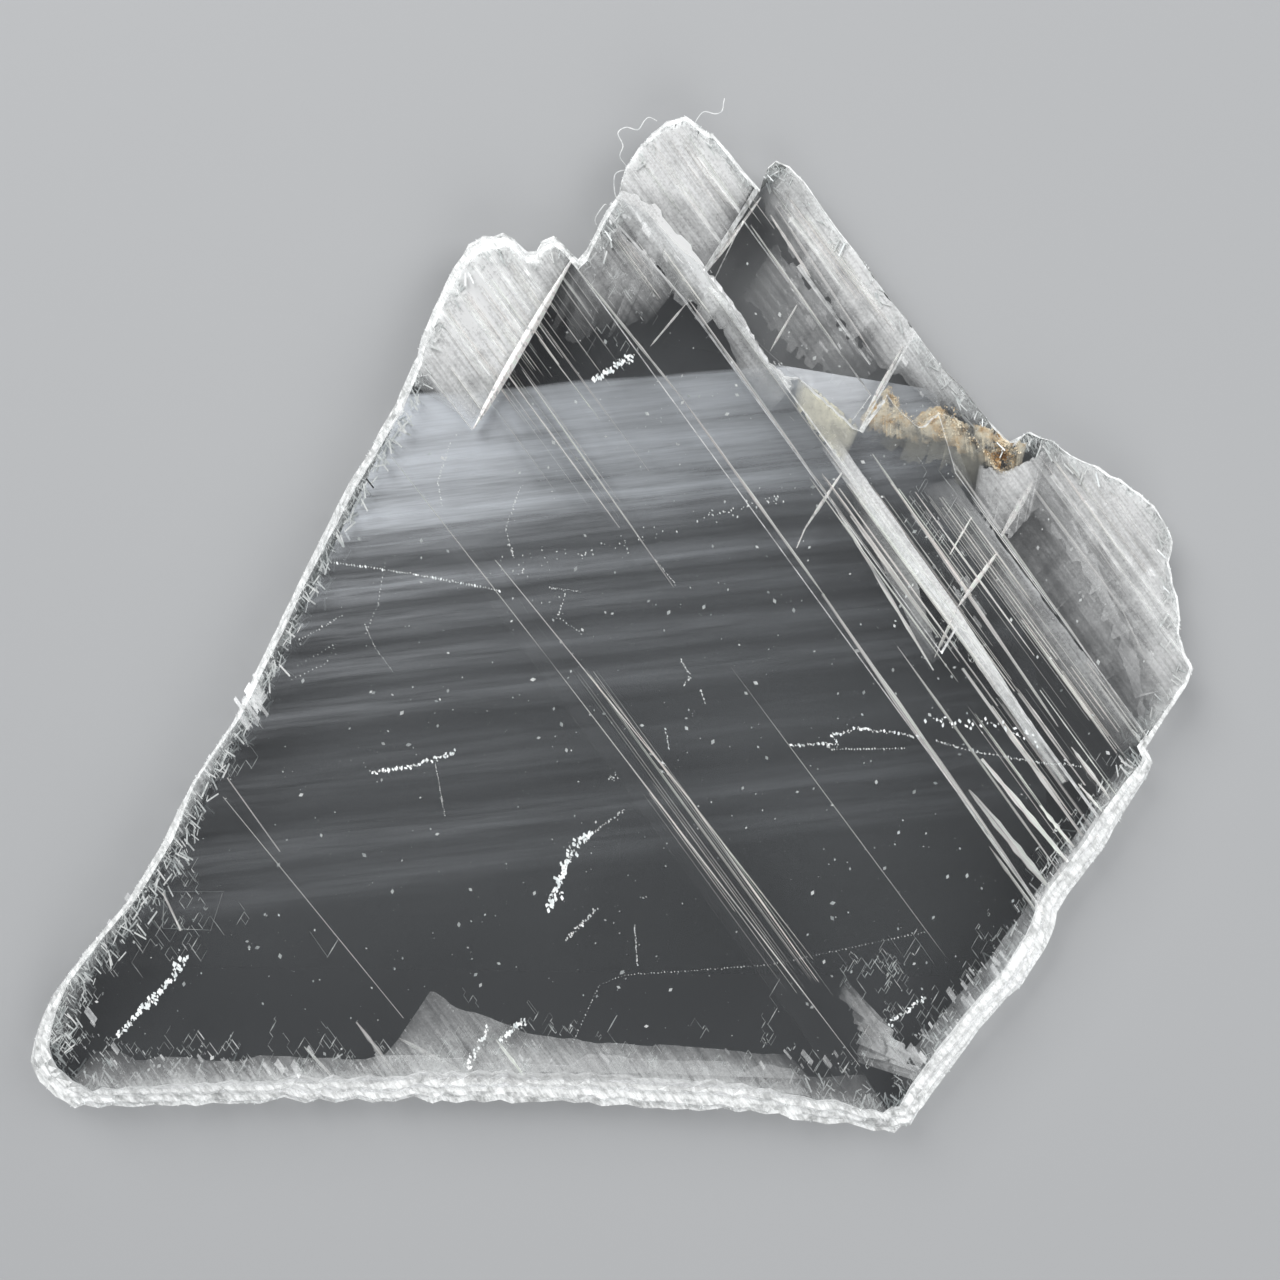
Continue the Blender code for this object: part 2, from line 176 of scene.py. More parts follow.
# Milky zones: outer edge, inner edge, height, density at the outer edge and at the inner
# one, and how far each edge is broken.
MILKY_ZONES = {
    "left lobe": (
        [(-21.8, 25.2), (-20.5, 30.2), (-17.4, 37.2), (-14.4, 40.2), (-10.8, 39.0),
         (-7.4, 40.0), (-5.6, 38.8)],
        [(-13.9, 20.4), (-13.0, 21.8), (-11.4, 24.6), (-9.5, 27.8), (-7.6, 31.0),
         (-5.8, 34.2), (-4.2, 36.8)],
        5.5, 1.6, 1.1, (0.0, 0.3),
    ),
    "top lobe": (
        [(-0.6, 43.5), (1.6, 46.5), (3.4, 50.1), (6.2, 52.7), (9.3, 52.3), (12.6, 49.3),
         (15.2, 46.0)],
        [(-0.8, 40.4), (1.2, 41.8), (3.4, 40.6), (5.8, 38.2), (7.4, 36.8), (8.8, 35.8),
         (9.8, 35.8)],
        4.6, 1.5, 0.6, (0.0, 0.2),
    ),
    "thin peak": (
        [(17.4, 46.1), (18.7, 48.1), (21.3, 46.1), (24.9, 41.1), (29.7, 34.7),
         (33.8, 29.5), (37.7, 24.9), (41.0, 20.9)],
        [(14.8, 43.2), (16.0, 42.6), (17.0, 40.4), (19.6, 36.0), (24.0, 30.0),
         (28.4, 25.4), (33.0, 22.0), (37.0, 19.4)],
        3.1, 1.4, 0.15, (0.0, 0.8),
    ),
    "right lobe": (
        [(44.1, 19.2), (46.1, 19.6), (52.1, 16.4), (56.1, 13.6), (58.7, 9.2),
         (59.1, 3.2), (60.7, -3.0), (59.1, -6.8), (56.9, -10.6)],
        [(41.4, 13.6), (44.0, 10.4), (46.6, 6.6), (48.4, 4.0), (49.6, 1.2), (51.4, -1.8),
         (52.6, -4.4), (53.4, -7.0), (53.6, -11.0)],
        4.35, 1.3, 0.22, (0.0, 0.8),
    ),
    "right lobe mottle": (
        [(43.4, 14.6), (46.4, 10.6), (49.2, 6.4), (51.0, 2.4), (53.4, -3.0), (54.2, -10.0)],
        [(39.4, 8.4), (42.0, 4.4), (44.8, 0.2), (47.4, -3.4), (49.8, -6.8), (52.2, -10.6)],
        4.1, 0.36, 0.08, (0.3, 1.0),
    ),
    "front leaf": (
        [(-3.2, 40.4), (1.1, 44.0), (4.2, 42.4), (6.8, 39.4), (8.4, 37.8), (9.7, 36.2),
         (12.6, 32.8), (14.1, 30.5), (15.1, 28.0), (18.5, 24.0)],
        [(-3.6, 36.6), (0.5, 39.6), (2.2, 38.4), (4.0, 36.0), (5.4, 34.2), (7.2, 32.8),
         (10.0, 30.6), (11.4, 28.4), (12.6, 26.0), (16.2, 22.0)],
        4.85, 1.6, 0.25, (0.3, 0.9),
    ),
    "pale ribbon": (
        [(22.7, 18.9), (34.9, 1.6), (46.2, -15.8)],
        [(21.1, 17.8), (33.5, 0.6), (45.3, -16.3)],
        5.2, 1.5, 1.2, (0.05, 0.05),
    ),
    "broad ribbon": (
        [(34.6, 14.8), (44.2, 1.8), (54.2, -11.4)],
        [(31.4, 13.8), (41.4, 0.2), (51.8, -13.4)],
        4.3, 0.55, 0.30, (0.1, 0.1),
    ),
    "short ribbon": (
        [(26.4, 13.8), (30.4, 5.6), (33.2, -3.4)],
        [(24.2, 12.8), (28.0, 4.6), (32.0, -4.4)],
        4.6, 0.55, 0.35, (0.1, 0.1),
    ),
    "bottom rim": (
        [(-55.4, -47.3), (-31.0, -47.8), (-13.0, -47.5), (-1.0, -47.9), (9.0, -48.4),
         (16.0, -48.9), (22.0, -49.6), (28.4, -50.2)],
        [(-52.0, -43.2), (-31.0, -43.8), (-13.0, -43.5), (-1.0, -43.9), (9.0, -44.4),
         (16.0, -44.8), (21.0, -45.2), (25.6, -45.0)],
        6.2, 1.2, 0.25, (0.0, 0.7),
    ),
    "bottom haze": (
        [(-26.0, -45.0), (-12.0, -45.0), (4.0, -45.2), (20.0, -45.8)],
        [(-22.6, -43.4), (-20.0, -39.6), (-18.2, -36.9), (-15.6, -38.6), (-12.6, -39.6),
         (-8.0, -41.2), (-2.0, -42.0), (8.0, -42.6), (18.0, -43.4)],
        6.0, 0.65, 0.24, (0.0, 0.15),
    ),
    "lower right rim": (
        [(32.1, -48.9), (36.7, -43.7), (42.3, -36.8), (45.4, -31.5), (50.6, -23.5),
         (54.9, -16.5)],
        [(28.4, -45.4), (32.6, -40.4), (38.2, -33.6), (41.8, -28.6), (47.2, -20.8),
         (51.6, -14.0)],
        5.0, 1.2, 0.25, (0.0, 0.7),
    ),
    "pocket foot": (
        [(37.2, 16.0), (40.0, 15.4), (42.4, 16.6), (44.2, 17.8)],
        [(36.6, 12.0), (38.8, 9.2), (40.6, 9.0), (42.8, 11.4)],
        4.6, 0.85, 0.25, (0.2, 0.6),
    ),
    "upper veil": (
        [(-3.6, 37.4), (0.4, 39.8), (3.0, 37.8), (6.4, 33.6)],
        [(-6.4, 31.6), (-3.0, 28.8), (1.0, 30.0), (4.6, 31.2)],
        5.9, 0.40, 0.04, (0.3, 1.2),
    ),
    "corner leaf": (
        [(27.6, -40.6), (30.0, -43.8), (31.4, -46.0)],
        [(23.0, -36.4), (25.2, -40.0), (24.6, -44.6)],
        5.9, 0.60, 0.12, (0.6, 1.2),
    ),
    "window clouds": (
        [(16.6, 39.0), (19.6, 35.2), (23.6, 30.4), (27.4, 26.2)],
        [(13.4, 33.6), (17.0, 29.6), (20.4, 26.6), (24.4, 23.8)],
        2.7, 0.22, 0.08, (0.6, 0.6),
    ),
    "left rim": (
        [(-58.7, -43.1), (-57.3, -37.9), (-53.9, -33.1), (-46.3, -22.3), (-39.1, -9.5),
         (-32.1, 5.1), (-22.5, 22.1)],
        [(-54.2, -42.2), (-53.2, -36.8), (-50.6, -31.9), (-43.6, -21.6), (-36.8, -9.4),
         (-30.1, 4.8), (-20.6, 21.6)],
        5.4, 1.1, 0.10, (0.0, 0.7),
    ),
}

# Growth bands: the rise of each over its run, and what a millimetre of height takes from
# it, the height of each at the slab's middle with its density, how far they wander up and
# down, and how far a dense band hides its own streaks.
BAND_TILT = 0.115
BAND_TILT_GROWTH = 0.001
BAND_WANDER = 1.6
BAND_EVENNESS = 0.8
BAND_DENSITY = [
    (25.0, 0.0), (24.6, 0.75), (23.4, 0.95), (21.6, 0.88), (20.0, 0.60), (18.4, 0.80),
    (16.6, 0.55), (15.0, 0.36), (13.4, 0.60), (11.6, 0.26), (9.6, 0.12), (8.0, 0.05),
    (6.2, 0.24), (4.6, 0.04), (2.8, 0.13), (0.6, 0.02), (-1.4, 0.12), (-3.4, 0.02),
    (-5.4, 0.10), (-7.6, 0.01), (-12.0, 0.05), (-15.6, 0.01), (-18.6, 0.10),
    (-20.0, 0.03), (-22.6, 0.09), (-24.4, 0.02), (-31.0, 0.0),
]
# The veil that carries them: its edges, stations, height, fall from left to right, density
# at both edges, and the least that is left at its ends.
BAND_LEFT = [(-17.4, 32.0), (-20.0, 24.0), (-29.4, 5.0), (-36.2, -10.0), (-43.6, -23.0),
             (-51.0, -34.5)]
BAND_RIGHT = [(33.0, 24.0), (37.0, 14.0), (41.0, 4.0), (44.0, -8.0), (44.5, -22.0),
              (38.5, -36.0)]
BAND_STATIONS = (60, 30)
BAND_HEIGHT = 5.3
BAND_FALL = 3.5
BAND_SIDES = (1.0, 0.7)
BAND_LEAST = 0.4

# Crushed trails on the front: points, half width, crumbs, crumb size.
TRAILS = [
    ([(-24.2, -14.9), (-20.0, -14.3), (-15.7, -12.9)], 0.22, 60, 0.34),
    ([(-17.7, -13.7), (-16.7, -19.2)], 0.05, 30, 0.14),
    ([(-6.3, -28.5), (-4.9, -25.0), (-3.7, -22.2), (-2.0, -21.0)], 0.45, 120, 0.42),
    ([(-2.0, -21.0), (1.3, -18.7)], 0.12, 24, 0.20),
    ([(-4.6, -31.7), (-1.4, -28.5)], 0.18, 36, 0.30),
    ([(17.8, -12.2), (22.6, -12.0), (22.0, -11.2), (25.0, -10.5), (31.3, -11.4)], 0.16, 90,
     0.30),
    ([(22.0, -12.6), (29.3, -12.5)], 0.06, 26, 0.22),
    ([(-27.7, 6.1), (-20.0, 5.0), (-11.2, 3.3)], 0.06, 60, 0.28),
    ([(-42.6, -33.4), (-44.4, -36.0), (-49.4, -41.2)], 0.40, 110, 0.42),
    ([(-4.0, -42.2), (-1.2, -36.2), (1.3, -35.2), (15.8, -34.2), (31.3, -30.9)], 0.06, 120,
     0.15),
    ([(2.3, -30.2), (2.6, -34.2)], 0.08, 24, 0.20),
    ([(-1.7, 24.3), (2.1, 27.0)], 0.35, 60, 0.36),
    ([(32.6, -11.8), (36.7, -12.9), (43.4, -14.0), (47.3, -14.4)], 0.10, 70, 0.24),
    ([(-11.1, -41.7), (-8.7, -39.7)], 0.35, 44, 0.36),
    ([(-6.2, 3.6), (-3.2, 3.2)], 0.08, 16, 0.18),
    ([(28.0, -40.0), (31.4, -37.4)], 0.20, 36, 0.30),
    ([(-12.4, -40.5), (-14.5, -44.5)], 0.30, 36, 0.34),
    ([(-24.7, -0.1), (-23.6, -2.6), (-21.9, -4.8)], 0.05, 24, 0.15),
    ([(4.4, 6.4), (6.4, 3.9)], 0.06, 14, 0.16),
    ([(6.9, -3.6), (7.9, -5.4), (7.2, -6.2)], 0.14, 16, 0.24),
    ([(9.0, -6.6), (9.4, -8.0)], 0.12, 8, 0.26),
    ([(5.4, -10.6), (5.8, -12.6)], 0.12, 10, 0.24),
    ([(-0.2, -15.3), (0.4, -15.5)], 0.45, 12, 0.22),
    ([(4.8, -13.8), (5.2, -15.2)], 0.40, 10, 0.26),
    ([(-27.0, 0.8), (-31.2, -1.6)], 0.10, 16, 0.20),
    ([(-9.2, 13.6), (-10.6, 9.4), (-9.8, 6.6)], 0.10, 30, 0.18),
    ([(8.6, 10.6), (17.4, 12.6)], 0.60, 36, 0.24),
    ([(-12.0, 5.2), (6.0, 9.4)], 1.20, 50, 0.20),
    ([(32.0, -9.6), (39.0, -10.4), (42.6, -11.6)], 0.70, 46, 0.36),
    ([(-22.6, 6.4), (-23.4, 2.0), (-24.6, -1.0)], 0.06, 22, 0.14),
    ([(-16.2, 18.0), (-17.4, 14.2), (-17.0, 11.8)], 0.08, 24, 0.20),
    ([(-4.6, 3.0), (-5.4, 0.6), (-3.0, -1.0)], 0.10, 18, 0.20),
    ([(-31.4, -4.2), (-27.6, -2.0), (-28.6, -4.0), (-32.0, -5.6)], 0.05, 24, 0.14),
]
# A trail's crumbs: least and most of the trail's size, width and height as shares of the
# length, depth of the middle below the front, and stray of the turn in radians.
CRUMB_SIZE = (0.35, 1.0)
CRUMB_WIDTH = 0.7
CRUMB_HEIGHT = 0.5
CRUMB_SINK = 0.06
CRUMB_TURN = 0.5

# Zigzag cracks: the run they start from, count, length of a leg, legs.
CRAZING = [
    ([(-36.4, -6.5), (-40.0, -13.0), (-44.0, -20.6), (-48.6, -28.0)], 60, 1.7, 7),
    ([(-48.6, -28.0), (-53.0, -35.0), (-55.0, -41.0), (-50.0, -44.6)], 46, 2.0, 8),
    ([(-50.0, -44.0), (-30.0, -44.2), (-10.0, -43.8)], 56, 1.8, 7),
    ([(-20.0, -43.4), (-4.0, -41.6), (10.0, -43.6), (28.0, -44.6)], 50, 2.0, 7),
    ([(28.0, -44.6), (38.0, -34.0), (46.0, -23.0), (52.0, -14.5)], 60, 1.6, 6),
    ([(24.0, -34.0), (30.0, -36.0), (28.0, -40.0)], 22, 1.8, 8),
    ([(-42.0, -26.0), (-44.0, -31.0), (-40.0, -29.0)], 12, 2.4, 6),
    ([(-1.0, 33.0), (3.0, 28.0), (1.0, 36.0)], 14, 1.6, 6),
    ([(31.0, 14.0), (34.0, 4.0), (38.0, -3.0)], 26, 1.7, 6),
]
# Their stray from the run, the sizes of a figure and of its legs as shares of a leg's
# length, the crystal over them, their widths, depth and stations.
CRAZING_STRAY = 1.2
CRAZING_SIZE = (0.25, 1.2)
CRAZING_LEG = (0.1, 1.0)
CRAZING_COVER = (0.05, 1.6)
CRAZING_WIDTH = (0.03, 0.13)
CRAZING_DEPTH = 0.25
CRAZING_STATIONS = 3

# Small angular figures etched in the front, as the corners of each.
ETCH_FIGURES = [
    [(-45.0, -27.0), (-39.0, -27.0), (-40.2, -30.8), (-45.2, -30.6), (-45.0, -27.0)],
    [(-4.2, 29.6), (-2.6, 27.0), (-1.6, 28.8)],
    [(-1.8, 37.2), (0.0, 34.6), (1.2, 36.6), (-0.4, 38.8)],
    [(4.0, 35.8), (5.8, 33.2), (6.8, 35.0)],
    [(31.6, 13.4), (33.6, 10.6), (35.0, 13.0), (33.0, 15.6)],
    [(29.4, 11.2), (31.0, 9.0), (32.2, 11.0)],
    [(-30.4, -31.0), (-28.6, -33.6), (-27.4, -31.6)],
    [(27.6, -31.0), (29.4, -33.6), (30.6, -31.6), (32.4, -34.2)],
]

# Rhombic flakes in the slab: the run they lie along, spread, count, longest, density.
FLAKES = [
    ([(-22.0, -42.0), (-8.0, -43.8), (6.0, -44.4), (26.0, -44.0)], 1.0, 60, 1.8, 0.28),
    ([(27.0, -41.6), (29.6, -43.0)], 0.8, 10, 3.4, 0.45),
    ([(-54.0, -40.0), (-50.0, -44.0), (-38.0, -44.8), (-24.0, -44.4)], 0.8, 80, 1.7, 0.45),
    ([(29.0, -45.6), (34.0, -39.8), (40.0, -32.3), (47.0, -21.8)], 0.7, 80, 1.6, 0.50),
    ([(-39.4, -12.0), (-43.6, -20.0), (-49.2, -29.0), (-54.0, -37.0)], 0.6, 80, 1.5, 0.50),
    ([(-1.6, 40.6), (1.2, 42.2), (6.0, 37.6), (10.0, 34.6), (14.0, 29.8), (17.6, 24.4)], 0.6,
     80, 1.5, 0.60),
    ([(19.2, 24.4), (21.0, 20.6), (24.6, 19.2)], 0.9, 20, 1.5, 0.30),
    ([(33.0, 13.0), (36.0, 6.0), (38.0, 0.0)], 1.6, 26, 1.8, 0.22),
    ([(44.0, 14.0), (52.0, 8.0), (55.4, -3.0)], 1.6, 40, 1.8, 0.30),
    ([(17.0, 43.0), (24.0, 35.0), (34.0, 23.6)], 0.7, 30, 1.6, 0.35),
    ([(-37.0, -4.6), (-36.0, -9.4)], 0.7, 60, 3.0, 0.80),
    ([(17.0, 36.4), (21.0, 30.0), (24.4, 26.6)], 1.5, 70, 1.4, 0.16),
]
# A flake's density as a share of its run's, its size as a share of the longest, its width as
# a share of its length, its height as a share of the front's, its thickness, turn and tilt
# in radians, and the clear crystal left under it and over it.
FLAKE_DENSITY = (0.4, 1.3)
FLAKE_SIZE = (0.15, 1.0)
FLAKE_WIDTH = (0.12, 0.5)
FLAKE_LEVEL = (0.75, 0.94)
FLAKE_THICKNESS = 0.06
FLAKE_TURN = 0.06
FLAKE_TILT = 0.10
FLAKE_UNDER = 0.1
FLAKE_OVER = 0.08

# Specks: the field they are tried in, height as a share of the front's, sizes, and height as
# a share of the size.
SPECK_FIELD = ((-58, -50), (58, 50))
SPECK_LEVEL = (0.5, 0.98)
SPECK_SIZE = (0.05, 0.37)
SPECK_HEIGHT = 0.5

# How far in from the rim the crushed white goes: direction from the middle, and distance.
RIM_WHITE = [
    (0, 0.8), (60, 0.6), (95, 0.9), (125, 0.9), (150, 0.8), (195, 1.1), (215, 2.2),
    (225, 2.6), (240, 3.4), (285, 3.4), (300, 2.8), (335, 2.2), (350, 0.9), (360, 0.8),
]
# Where the front is looked for: from above all of the slab down to the lowest height that
# still counts as the front.
ABOVE_ALL = 50.0
LOWEST_FRONT = 1.0
# How near open air the rim is, and how level its steep faces are at most, from 0 to 1.
RIM_REACH = 2.6
RIM_STEEPNESS = 0.9
# Corners closer than this are merged. A face more level than the flattest broken one is
# clear, and one more level than the steepest hazy one is only hazy if the rim isn't near.
MERGE_DISTANCE = 0.001
FLATTEST_BROKEN = 0.9995
STEEPEST_HAZY = 0.5
HAZE = 0.45
# Splinters: depth of the smallest and what the largest adds, the share that lies on the
# rim's faces with its size and depth, the share that runs down the fibrous cleavage, limits
# of length, width and thickness, stray of the turn in radians, and the heights they keep to.
SPLINTER_COVER = 0.25
SPLINTER_SINK = 0.7
SPLINTERS_ON_TOP = 0.35
TOP_SPLINTER_SIZE = 0.35
TOP_SPLINTER_SINK = 0.5
SPLINTERS_ALONG = 0.6
SPLINTER_LENGTH = (0.2, 1.6)
SPLINTER_WIDTH = (0.04, 0.19)
SPLINTER_THICKNESS = (0.03, 0.14)
SPLINTER_TURN = 0.30
SPLINTER_HEIGHTS = (0.05, 6.95)

# The rust's films and the tinged shelves beside it, each laid out as a milky zone is.
RUST_FILMS = [
    (
        [(25.3, 21.0), (26.8, 22.8), (28.2, 24.3), (29.2, 22.6), (30.4, 20.6)],
        [(25.2, 19.8), (26.6, 19.4), (28.0, 19.2), (29.4, 18.8), (31.0, 18.2)],
        5.5, 1.0, 0.25, (0.2, 0.4),
    ),
    (
        [(30.6, 20.6), (31.6, 21.6), (33.2, 22.3), (34.8, 21.0), (36.6, 20.2)],
        [(30.8, 18.6), (32.0, 18.4), (33.6, 18.2), (35.2, 17.6), (37.0, 16.6)],
        5.5, 1.1, 0.30, (0.2, 0.4),
    ),
    (
        [(36.6, 20.4), (38.2, 20.0), (40.0, 19.4), (42.0, 18.2)],
        [(37.4, 16.6), (38.6, 15.8), (40.0, 15.4), (41.6, 16.2)],
        5.5, 1.2, 0.30, (0.2, 0.4),
    ),
]
TINGED_SHELVES = [
    (
        [(18.9, 25.2), (20.6, 24.0), (23.4, 21.6), (25.2, 20.0)],
        [(18.4, 22.8), (19.8, 20.2), (21.6, 18.4), (23.4, 16.2)],
        5.5, 0.75, 0.45, (0.3, 0.3),
    ),
    (
        [(27.6, 22.8), (31.0, 20.0), (34.0, 20.6), (38.0, 16.8)],
        [(26.0, 19.4), (29.4, 17.0), (33.0, 16.4), (37.0, 12.6)],
        4.2, 0.30, 0.08, (0.3, 0.8),
    ),
]
# The trail of rusty crumbs, how far they stray from it and how dense they are, and the
# pocket, which no frost hides.
RUST_TRAIL = [(27.9, 23.8), (29.3, 22.1), (31.2, 20.4), (32.5, 21.2), (34.1, 21.2),
              (36.5, 18.9), (38.1, 17.3)]
RUST_TRAIL_STRAY = 0.18
RUST_TRAIL_COVER = 1.0
RUST_POCKET = (39.7, 16.9)
RUST_POCKET_RADIUS = 1.6
# Fans of crumbs: middle, nearest, farthest, directions in degrees, count and cover.
RUST_FANS = [
    ((39.4, 16.7), 0.0, 1.0, (0, 360), 300, 5.0),
    ((39.6, 16.9), 0.6, 1.9, (10, 120), 260, 2.2),
    ((39.6, 16.9), 0.7, 1.4, (120, 370), 160, 1.4),
    ((34.0, 20.4), 0.1, 1.8, (0, 360), 160, 0.6),
    ((28.4, 21.8), 0.1, 1.5, (0, 360), 120, 0.6),
]
# Their sizes, and width, height and depth below the front as shares of the size.
RUST_SIZE = (0.04, 0.19)
RUST_WIDTH = 0.8
RUST_HEIGHT = 0.7
RUST_SINK = 0.15

# Fine fibres of lint that cling to the top lobe, as the points they curl through, and their
# middle height, rise and fall, radius, sides, and how long and how blunt their ends are.
LINT = [
    [(4.6, 51.3), (3.8, 51.6), (3.3, 51.2), (2.8, 50.4), (2.4, 50.3), (1.4, 50.6),
     (0.6, 50.1), (1.1, 48.9), (0.8, 47.8), (1.6, 46.7)],
    [(1.4, 46.3), (0.3, 45.7), (0.3, 43.9), (0.8, 43.2)],
    [(8.5, 51.2), (9.3, 52.1), (10.5, 51.9), (11.2, 52.3), (11.4, 53.3), (11.5, 53.8)],
    [(-0.6, 42.8), (-0.9, 42.5), (-1.7, 41.4), (-1.6, 40.8)],
]
LINT_HEIGHT = 3.6
LINT_WAVE = 0.5
LINT_WAVE_TURN = 5.0
LINT_RADIUS = 0.06
LINT_SIDES = 6
LINT_ENDS = (0.06, 0.94)
LINT_BLUNTNESS = 0.3

# Patterns of the materials: places on the ramp with the colour or the share at each.
FROST_GREY = [(0.34, (0.55, 0.56, 0.55, 1))]
FROST_PATCHES = [(0.35, 0.40), (0.55, 1.0)]
SPLINTER_GREYS = [(0.32, (0.56, 0.60, 0.60, 1)), (0.5, (0.80, 0.83, 0.82, 1))]
CRACK_TINTS = [(0.34, (0.40, 0.42, 0.42, 1)), (0.46, (0.90, 0.84, 0.82, 1))]
CRACK_GREEN = [(0.66, (0.86, 0.92, 0.84, 1))]
SILK_STREAKS = [(0.33, 0.30), (0.64, 1.30)]
SILK_PATCHES = [(0.3, 0.8), (0.65, 1.1)]
MILK_STREAKS = [(0.34, 0.45), (0.62, 1.1)]
MILK_CLOUDS = [(0.30, 0.55), (0.58, 1.1)]
MILK_GRAINS = [(0.35, 0.75), (0.6, 1.05)]
RUST_TANS = [(0.28, (0.46, 0.29, 0.14, 1)), (0.40, (0.74, 0.59, 0.39, 1)),
             (0.52, (0.86, 0.79, 0.63, 1))]
RUST_PATCHES = [(0.38, 0.0), (0.60, 1.0)]
RUST_DARKENING = 0.05
TINGE_CLOUDS = [(0.3, 0.3), (0.65, 1.0)]
LINT_GREYS = [(0.3, (0.50, 0.52, 0.52, 1)), (0.7, (0.86, 0.87, 0.86, 1))]

# Lamps: name, direction round and up in degrees, distance and size in metres, and power as
# a share of the key light's.
LAMPS = [
    ("key", 125.0, 42.0, 0.55, 0.35, 1.0),
    ("fill", 20.0, 38.0, 0.65, 0.45, 0.80),
    ("rim", 285.0, 32.0, 0.60, 0.40, 0.55),
]
# The point of the front that the camera looks at, the width of its sensor, and the gap
# between the slab and the floor.
VIEW_CENTRE = (2.85, -1.65, 7.0)
SENSOR_WIDTH = 36.0
FLOOR_DROP = 0.4


class Value:
    """A socket that takes part in arithmetic, where each operator adds one Math node."""

    def __init__(self, nodes, socket):
        self.nodes = nodes
        self.socket = socket

    def _maths(self, operation, *numbers, **settings):
        settings["operation"] = operation
        return self.nodes.add("ShaderNodeMath", settings, dict(enumerate(numbers)))

    def __add__(self, other):
        return self._maths("ADD", self, other)

    def __sub__(self, other):
        return self._maths("SUBTRACT", self, other)

    def __rsub__(self, other):
        return self._maths("SUBTRACT", other, self)

    def __mul__(self, other):
        return self._maths("MULTIPLY", self, other)

    __radd__ = __add__
    __rmul__ = __mul__

    def clamped(self):
        return self._maths("ADD", self, 0.0, use_clamp=True)


class Nodes:
    """The node tree of one new material, with a method that adds any node."""

    def __init__(self, name):
        self.material = bpy.data.materials.new(name)
        self.material.use_nodes = True
        self.tree = self.material.node_tree
        self.tree.nodes.clear()

    def add(self, kind, settings=None, sockets=None, output=0):
        """Adds a node, sets it, then fills its sockets with numbers or links."""
        node = self.tree.nodes.new(kind)
        for key, value in (settings or {}).items():
            if key == "stops":
                self._fill_ramp(node.color_ramp, value)
            else:
                setattr(node, key, value)
        for key, value in (sockets or {}).items():
            if isinstance(value, Value):
                self.tree.links.new(value.socket, node.inputs[key])
            else:
                node.inputs[key].default_value = value
        return Value(self, node.outputs[output])

    def _fill_ramp(self, ramp, stops):
        ramp.elements.remove(ramp.elements[1])
        for index, (place, colour) in enumerate(stops):
            element = ramp.elements[0] if index == 0 else ramp.elements.new(place)
            element.position = place
            element.color = colour

    def place(self):
        return self.add("ShaderNodeTexCoord", output="Object")

    def attribute(self, name):
        return self.add("ShaderNodeAttribute", {"attribute_name": name}, output="Fac")

    def noise(self, scale, detail=4.0, roughness=0.55, stretch=(1, 1, 1), turn=0.0):
        """Noise from 0 to 1, in cycles for a millimetre, turned and stretched in the plane."""
        laid = self.add(
            "ShaderNodeMapping",
            {"vector_type": "TEXTURE"},
            {"Vector": self.place(), "Rotation": (0, 0, math.radians(turn)),
             "Scale": stretch},
        )
        return self.add(
            "ShaderNodeTexNoise",
            sockets={"Vector": laid, "Scale": scale / MM, "Detail": detail,
                     "Roughness": roughness},
        )

    def ramp(self, value, stops):
        """A ramp from a value to grey levels or colours, given as places and levels."""
        full = [(place, level if isinstance(level, tuple) else (level,) * 3 + (1.0,))
                for place, level in stops]
        return self.add("ShaderNodeValToRGB", {"stops": full}, {"Fac": value})

    def bump(self, height, strength, distance):
        return self.add(
            "ShaderNodeBump",
            sockets={"Height": height, "Strength": strength, "Distance": distance * MM},
        )

    def painted(self, sockets):
        """The finished material, as one Principled surface."""
        return self.finish(self.add("ShaderNodeBsdfPrincipled", sockets=sockets))

    def finish(self, surface, volume=None):
        sockets = {"Surface": surface}
        if volume:
            sockets["Volume"] = volume
        output = self.tree.nodes.new("ShaderNodeOutputMaterial")
        for key, value in sockets.items():
            self.tree.links.new(value.socket, output.inputs[key])
        return self.material


def crystal_material(look):
    """Clear selenite darkened by a painted grey shade within, which turns to white fibrous
    frost where its faces are broken.
    """
    nodes = Nodes("clear selenite")
    strands = nodes.noise(
        2.2, detail=3.0, roughness=0.7, stretch=(4.0, 1.0, 4.0), turn=FIBRE_DEGREES
    )
    patches = nodes.noise(0.7, detail=3.0, roughness=0.65)
    glass = nodes.add(
        "ShaderNodeBsdfPrincipled",
        sockets={"Base Color": (1, 1, 1, 1), "Roughness": 0.02, "IOR": look.index,
                 "Transmission Weight": 1.0},
    )
    white = nodes.add(
        "ShaderNodeBsdfPrincipled",
        sockets={
            "Base Color": nodes.ramp(strands, FROST_GREY + [(0.58, tuple(look.frost_colour))]),
            "Roughness": 0.38,
            "Normal": nodes.bump(strands, strength=0.7, distance=0.25),
        },
    )
    amount = nodes.attribute("frost") * nodes.ramp(patches, FROST_PATCHES)
    surface = nodes.add("ShaderNodeMixShader", sockets={0: amount, 1: glass, 2: white})
    # Painted shade: grey absorption darkens the crystal, colourless in itself, the more of it a
    # ray crosses.
    depth = nodes.add(
        "ShaderNodeVolumeAbsorption",
        sockets={"Color": tuple(look.shade_absorption_colour), "Density": look.shade_absorption_density},
    )
    return nodes.finish(surface, depth)


def splinter_material(look):
    """White cleavage splinters whose brightness changes from leaf to leaf."""
    nodes = Nodes("white splinters")
    shade = nodes.noise(
        1.1, detail=2.0, roughness=0.7, stretch=(3.0, 1.0, 1.0), turn=FIBRE_DEGREES
    )
    return nodes.painted({
        "Base Color": nodes.ramp(shade, SPLINTER_GREYS + [(0.66, tuple(look.frost_colour))]),
        "Roughness": 0.3,
        "Normal": nodes.bump(shade, strength=0.5, distance=0.1),
    })


